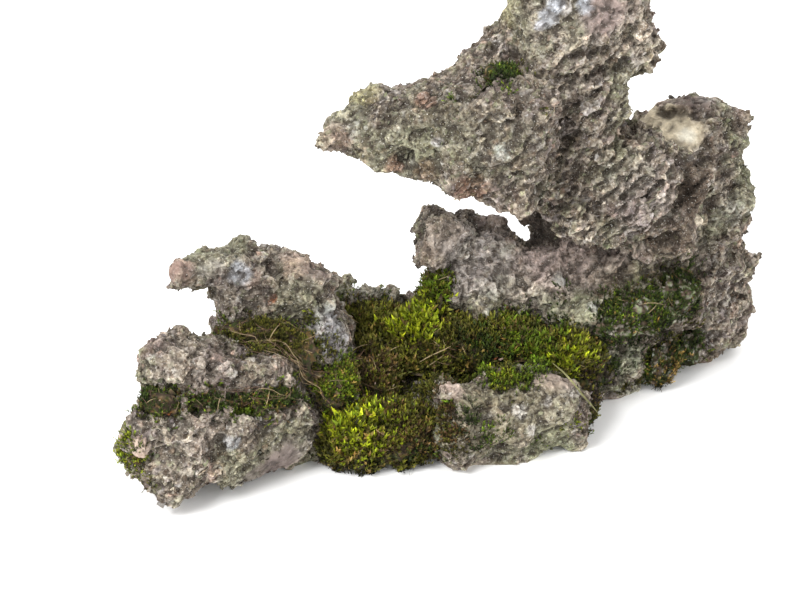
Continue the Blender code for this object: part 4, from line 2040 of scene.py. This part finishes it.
@dataclass
class MossFilm:
    """The thin patches of moss on the stone.

    Attributes:
        shortest: the shortest shoot.
        tallest: the tallest shoot.
        dense: multiplies how many shoots every patch has.
        fringe: how many shoots creep out over the stone around the cushions.
        creep: how far they creep.
        tried: how many places are tried for them.
        clump: how many shoots a clump has.
        clump_reach: a clump's radius.
    """

    shortest: float = 2.0
    tallest: float = 4.4
    dense: float = 1.2
    fringe: int = 5200
    creep: float = 8.0
    tried: int = 60000
    clump: int = 14
    clump_reach: float = 3.0

    def creeping(self, skin: Surface, cushions: BVHTree, upward: Array,
                 rng: Generator) -> tuple[Array, Array]:
        """Finds where the shoots around the cushions stand.

        Args:
            skin: the stone's skin.
            cushions: the search tree of the cushions.
            upward: how much moss each face of the skin would carry.
            rng: the random source.

        Returns:
            Their places and the normals there.
        """
        places, ways = sample_faces(skin, rng, self.tried, upward + TINY)
        far = np.full(len(places), 99.0)
        for index, place in enumerate(places):
            near = cushions.find_nearest(Vector(place) * MM, self.creep * MM)
            if near[0] is not None:
                far[index] = near[3] / MM
        ragged = RandomField(80).fractal(places, 8.0) * 4.0
        kept = np.nonzero(far + ragged + rng.random(len(places)) * 3.0 < self.creep * 0.62)[0]
        kept = rng.permutation(kept)[: self.fringe // 1]
        return places[kept], ways[kept]

    def build(self, lookout: Lookout, tree: BVHTree, skin: Surface, cushions: BVHTree,
              leaf: Material) -> None:
        """Makes every patch as one piece.

        Args:
            lookout: the camera.
            tree: the search tree of the stone's skin.
            skin: the stone's skin.
            cushions: the search tree of the cushions.
            leaf: the shoots' material.
        """
        rng = np.random.default_rng(77)
        upward = np.clip(unit(skin.across())[:, 2] + 0.75, 0.0, 1.0)
        middles = skin.middles()
        patchy = np.clip(RandomField(78).fractal(middles, 6.0) * 2.6 + 0.9, 0.0, 1.0)
        places, ways, tints = [], [], []
        for tuft, place, _ in lookout.locate(tree, TUFTS):
            far = np.linalg.norm(middles - place, axis=1) / tuft.reach
            weights = np.clip(1.3 - far, 0.0, 1.0) * upward * patchy + 1e-12
            count = int(tuft.dense * self.dense * math.pi * tuft.reach**2 * (1.0)) + 1
            spots, normals = sample_faces(skin, rng, count, weights)
            places.append(spots)
            ways.append(normals)
            greens = np.array(tuft.colour) * rng.uniform(0.6, 1.3, (count, 1))
            tints.append(greens * rng.uniform(0.9, 1.1, (count, 3)))
        spots, normals = self.creeping(skin, cushions, upward * patchy, rng)
        places.append(spots)
        ways.append(normals)
        picks = rng.choice(4, size=len(spots), p=(0.35, 0.3, 0.2, 0.15))
        greens = np.array((OLIVE, FRESH, DEEP, RUSSET))[picks]
        tints.append(greens * rng.uniform(0.6, 1.3, (len(spots), 1)))
        roots, normals, colours = np.concatenate(places), np.concatenate(ways), np.concatenate(tints)
        count = len(roots)
        arms, owners = clumped(roots, rng, self.clump)
        own = RandomField(79).draw_for(owners)
        length = rng.uniform(self.shortest, self.tallest, count) * (0.7 + 0.6 * own)
        axes = normals * 0.5 + np.array((0.0, -0.05, 0.75)) + arms / self.clump_reach * 0.3
        axes = unit(axes + rng.normal(size=(count, 3)) * 0.3)
        maker = ShootMaker(leaves=8, leaf=0.36, width=0.16, stem=0.07)
        sizes = np.stack([length, length, length], axis=1)
        picks = rng.integers(0, maker.kinds, count)
        colours = colours * (0.7 + 0.6 * own)[:, None]
        joined = scatter(maker.shapes(rng), picks, roots - axes * 0.5, turns(rng, axes), sizes, colours)
        joined.lift(0.15)
        piece = joined.to_piece("moss_film", leaf)
        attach(piece, "root")
        log.info("moss_film: %d shoots, %d triangles", count, len(joined.faces))


# The dry litter in the moss


STRAW: Colour = (0.36, 0.27, 0.15)
TWIG: Colour = (0.14, 0.082, 0.052)
GRASS: Colour = (0.30, 0.29, 0.13)
BLADES: tuple[tuple[Route, float, Colour], ...] = (
    (((552, 362), (566, 378), (584, 400), (602, 420)), 1.1, GRASS),
    (((340, 312), (352, 322), (366, 328)), 0.6, STRAW),
    (((420, 362), (438, 352), (456, 345)), 0.6, STRAW),
    (((640, 305), (655, 302), (668, 306)), 0.5, STRAW),
    (((618, 302), (632, 302)), 0.8, STRAW),
    (((575, 345), (590, 338)), 0.5, GRASS),
)
NEEDLE_SHARES = (("moss_bed", 0.6), ("moss_hook", 0.2), ("moss_cleft", 0.14), ("moss_slope", 0.06))
SEAMS: tuple[Route, ...] = (
    ((230, 332), (258, 342), (285, 355), (308, 372), (328, 392), (340, 412)),
    ((172, 388), (198, 398), (226, 392), (252, 400), (280, 393), (306, 398)),
)


@dataclass
class Litter:
    """Dry needles, roots, a grass blade and rusty leaf bits.

    Attributes:
        needles: how many needles lie in the moss.
        roots: how many roots cross the seams of the split block.
        bits: how many rusty and pale leaf bits lie in the moss.
        needle_width: a needle's width.
        needle_length: the shortest and the longest needle.
        root_width: the thinnest and the thickest root.
        bit_width: the smallest and the largest leaf bit.
    """

    needles: int = 190
    roots: int = 30
    bits: int = 260
    needle_width: float = 0.32
    needle_length: tuple[float, float] = (4.0, 11.0)
    root_width: tuple[float, float] = (0.16, 0.32)
    bit_width: tuple[float, float] = (1.0, 2.6)

    def strand(self, path: Array, width: float, colour: Colour) -> Surface:
        """Makes a thin three-sided strand along a path.

        Args:
            path: its points.
            width: its width, which narrows to the ends.
            colour: its colour.

        Returns:
            The strand.
        """
        count = len(path)
        way = unit(np.gradient(path, axis=0))
        side = unit(np.cross(way, (0.0, 0.0, 1.0)))
        other = np.cross(side, way)
        points, faces = [], []
        for index in range(count):
            t = index / (count - 1)
            radius = width / 2 * (1.0 - 0.75 * abs(2.0 * t - 1.0) ** 3)
            for turn in range(3):
                angle = turn * 2.0 * math.pi / 3.0
                out = math.cos(angle) * side[index] + math.sin(angle) * other[index]
                points.append(path[index] + radius * out)
        for index in range(count - 1):
            for turn in range(3):
                a, b = index * 3 + turn, index * 3 + (turn + 1) % 3
                faces += [(a, b, b + 3), (a, b + 3, a + 3)]
        last = (count - 1) * 3
        faces += [(2, 1, 0), (last, last + 1, last + 2)]
        return Surface(np.array(points), np.array(faces), np.tile(np.array(colour), (len(points), 1)))

    def build(self, lookout: Lookout, tree: BVHTree, solids: dict[str, Object],
              material: Material) -> None:
        """Makes the litter.

        Args:
            lookout: the camera.
            tree: the search tree of the stone and the moss.
            solids: the object's solids by name.
            material: the litter's material.
        """
        rng = np.random.default_rng(55)
        strands = []
        for name, share in NEEDLE_SHARES:
            surface = read_surface(solids[name].data)
            upward = unit(surface.across())[:, 2]
            places, ways = sample_faces(surface, rng, int(self.needles * share), (upward > 0.2) + TINY)
            for place, way in zip(places, ways):
                strands.append(self.needle(place, way, rng))
        piece = join(strands).to_piece("dry_needles", material)
        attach(piece, "root")
        self.leaf_bits(solids, rng, material)
        blades = []
        for path, width, colour in BLADES:
            blades.append(self.strand(lookout.trace(tree, path, 6.0, 1.6), width, colour))
        for index in range(self.roots):
            seam = SEAMS[0 if index % 3 else 1]
            shift = rng.normal(size=2) * (6.0, 4.0)
            path = tuple((u + shift[0] + rng.normal() * 6.0, v + shift[1] + rng.normal() * 6.0)
                         for u, v in seam)
            start = rng.integers(0, len(seam) - 2)
            line = lookout.trace(tree, path[start:start + 3], 6.0, rng.uniform(0.6, 2.2))
            if len(line) > 3:
                line = line + wander(line, 90, 5.0) * 2.4
                line[:, 2] = np.maximum(line[:, 2], 0.6)
                width = rng.uniform(*self.root_width)
                blades.append(self.strand(line, width, TWIG if rng.random() < 0.8 else STRAW))
        piece = join(blades).to_piece("roots_and_blades", material)
        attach(piece, "root")

    def leaf_bits(self, solids: dict[str, Object], rng: Generator,
                  material: Material) -> None:
        """Strews small flat leaf bits over the moss.

        Args:
            solids: the object's solids by name.
            rng: the random source.
            material: the litter's material.
        """
        surface = join([read_surface(solids[name].data) for name in ("moss_bed", "moss_hook", "moss_cleft")])
        upward = unit(surface.across())[:, 2]
        places, ways = sample_faces(surface, rng, self.bits, (upward > 0.1) + TINY)
        maker = Chunks()
        axes = unit(ways + rng.normal(size=(self.bits, 3)) * 0.7)
        sizes = rng.uniform(*self.bit_width, (self.bits, 1)) * np.array((1.2, 0.7, 0.2))
        shades = rng.choice(4, size=self.bits, p=(0.3, 0.35, 0.2, 0.15))
        tints = np.array((RUST, RUSSET, STRAW, PINK))[shades]
        picks = rng.integers(0, maker.kinds, self.bits)
        joined = scatter(maker.shapes(rng), picks, places - ways * 0.8, turns(rng, axes), sizes, tints * 0.8)
        joined.lift(0.2)
        piece = joined.to_piece("leaf_bits", material)
        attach(piece, "root")

    def needle(self, place: Array, way: Array, rng: Generator) -> Surface:
        """Makes one bent needle that lies in the moss.

        Args:
            place: its middle.
            way: the surface's normal there.
            rng: the random source.

        Returns:
            The needle.
        """
        along = np.cross(way, rng.normal(size=3))
        along /= np.linalg.norm(along)
        bend = np.cross(along, way) * rng.uniform(-1.0, 1.0) + way * rng.uniform(-0.5, 0.8)
        length = rng.uniform(*self.needle_length)
        t = np.linspace(-0.5, 0.5, 6)[:, None]
        path = place + way * rng.uniform(-1.0, 0.6) + along * length * t
        path = path + bend * length * 0.45 * (0.25 - t * t)
        path[:, 2] = np.maximum(path[:, 2], 0.6)
        colour = np.array(STRAW if rng.random() < 0.6 else TWIG) * rng.uniform(0.6, 1.3)
        return self.strand(path, self.needle_width * rng.uniform(0.6, 1.3), tuple(colour))


# Everything in order


def main() -> None:
    """Builds the stone, the moss and the litter in order."""
    logging.basicConfig(level=logging.INFO, format="%(name)s %(message)s")
    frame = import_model()
    solids: dict[str, Object] = frame["nodes"]
    lookout = Lookout()
    lookout.place_camera()
    Studio().build()

    stone_tree = tree_of([solids["rock"]])
    colours = StoneColours()
    colours.locate(lookout, stone_tree)
    stone_material = StoneFinish().material()
    skin = Stone().build(solids["rock"], lookout, stone_tree, colours, stone_material)

    cushions = [solid for name, solid in solids.items() if name != "rock"]
    moss_trees = [tree_of([solid]) for solid in cushions]
    for side in Side:
        piece = LooseGrains().build(side, skin, moss_trees, colours, stone_material)
        log.info("%s: %d triangles", piece.name, len(piece.data.polygons))

    humus = PlantFinish("humus", 0.95, 0.4, 1.2).material()
    leaf = PlantFinish("moss_leaf", 0.6, 0.3, 0.8, 0.15).material()
    straw = PlantFinish("dry_straw", 0.7, 0.3, 0.6).material()
    whole_tree = tree_of(list(solids.values()))
    glades = [(glade, place) for glade, place, _ in lookout.locate(whole_tree, GLADES)]
    for cushion in CUSHIONS:
        cushion.build(solids[cushion.node], stone_tree, glades, humus, leaf)
    skin_tree = BVHTree.FromPolygons((skin.points * MM).tolist(), skin.faces.tolist())
    MossFilm().build(lookout, skin_tree, skin, tree_of(cushions), leaf)
    Litter().build(lookout, whole_tree, solids, straw)
    shown = sum(len(o.data.polygons) for o in bpy.data.objects if o.type == "MESH" and not o.hide_render)
    log.info("in all: %d triangles", shown)


if __name__ == "__main__":
    main()
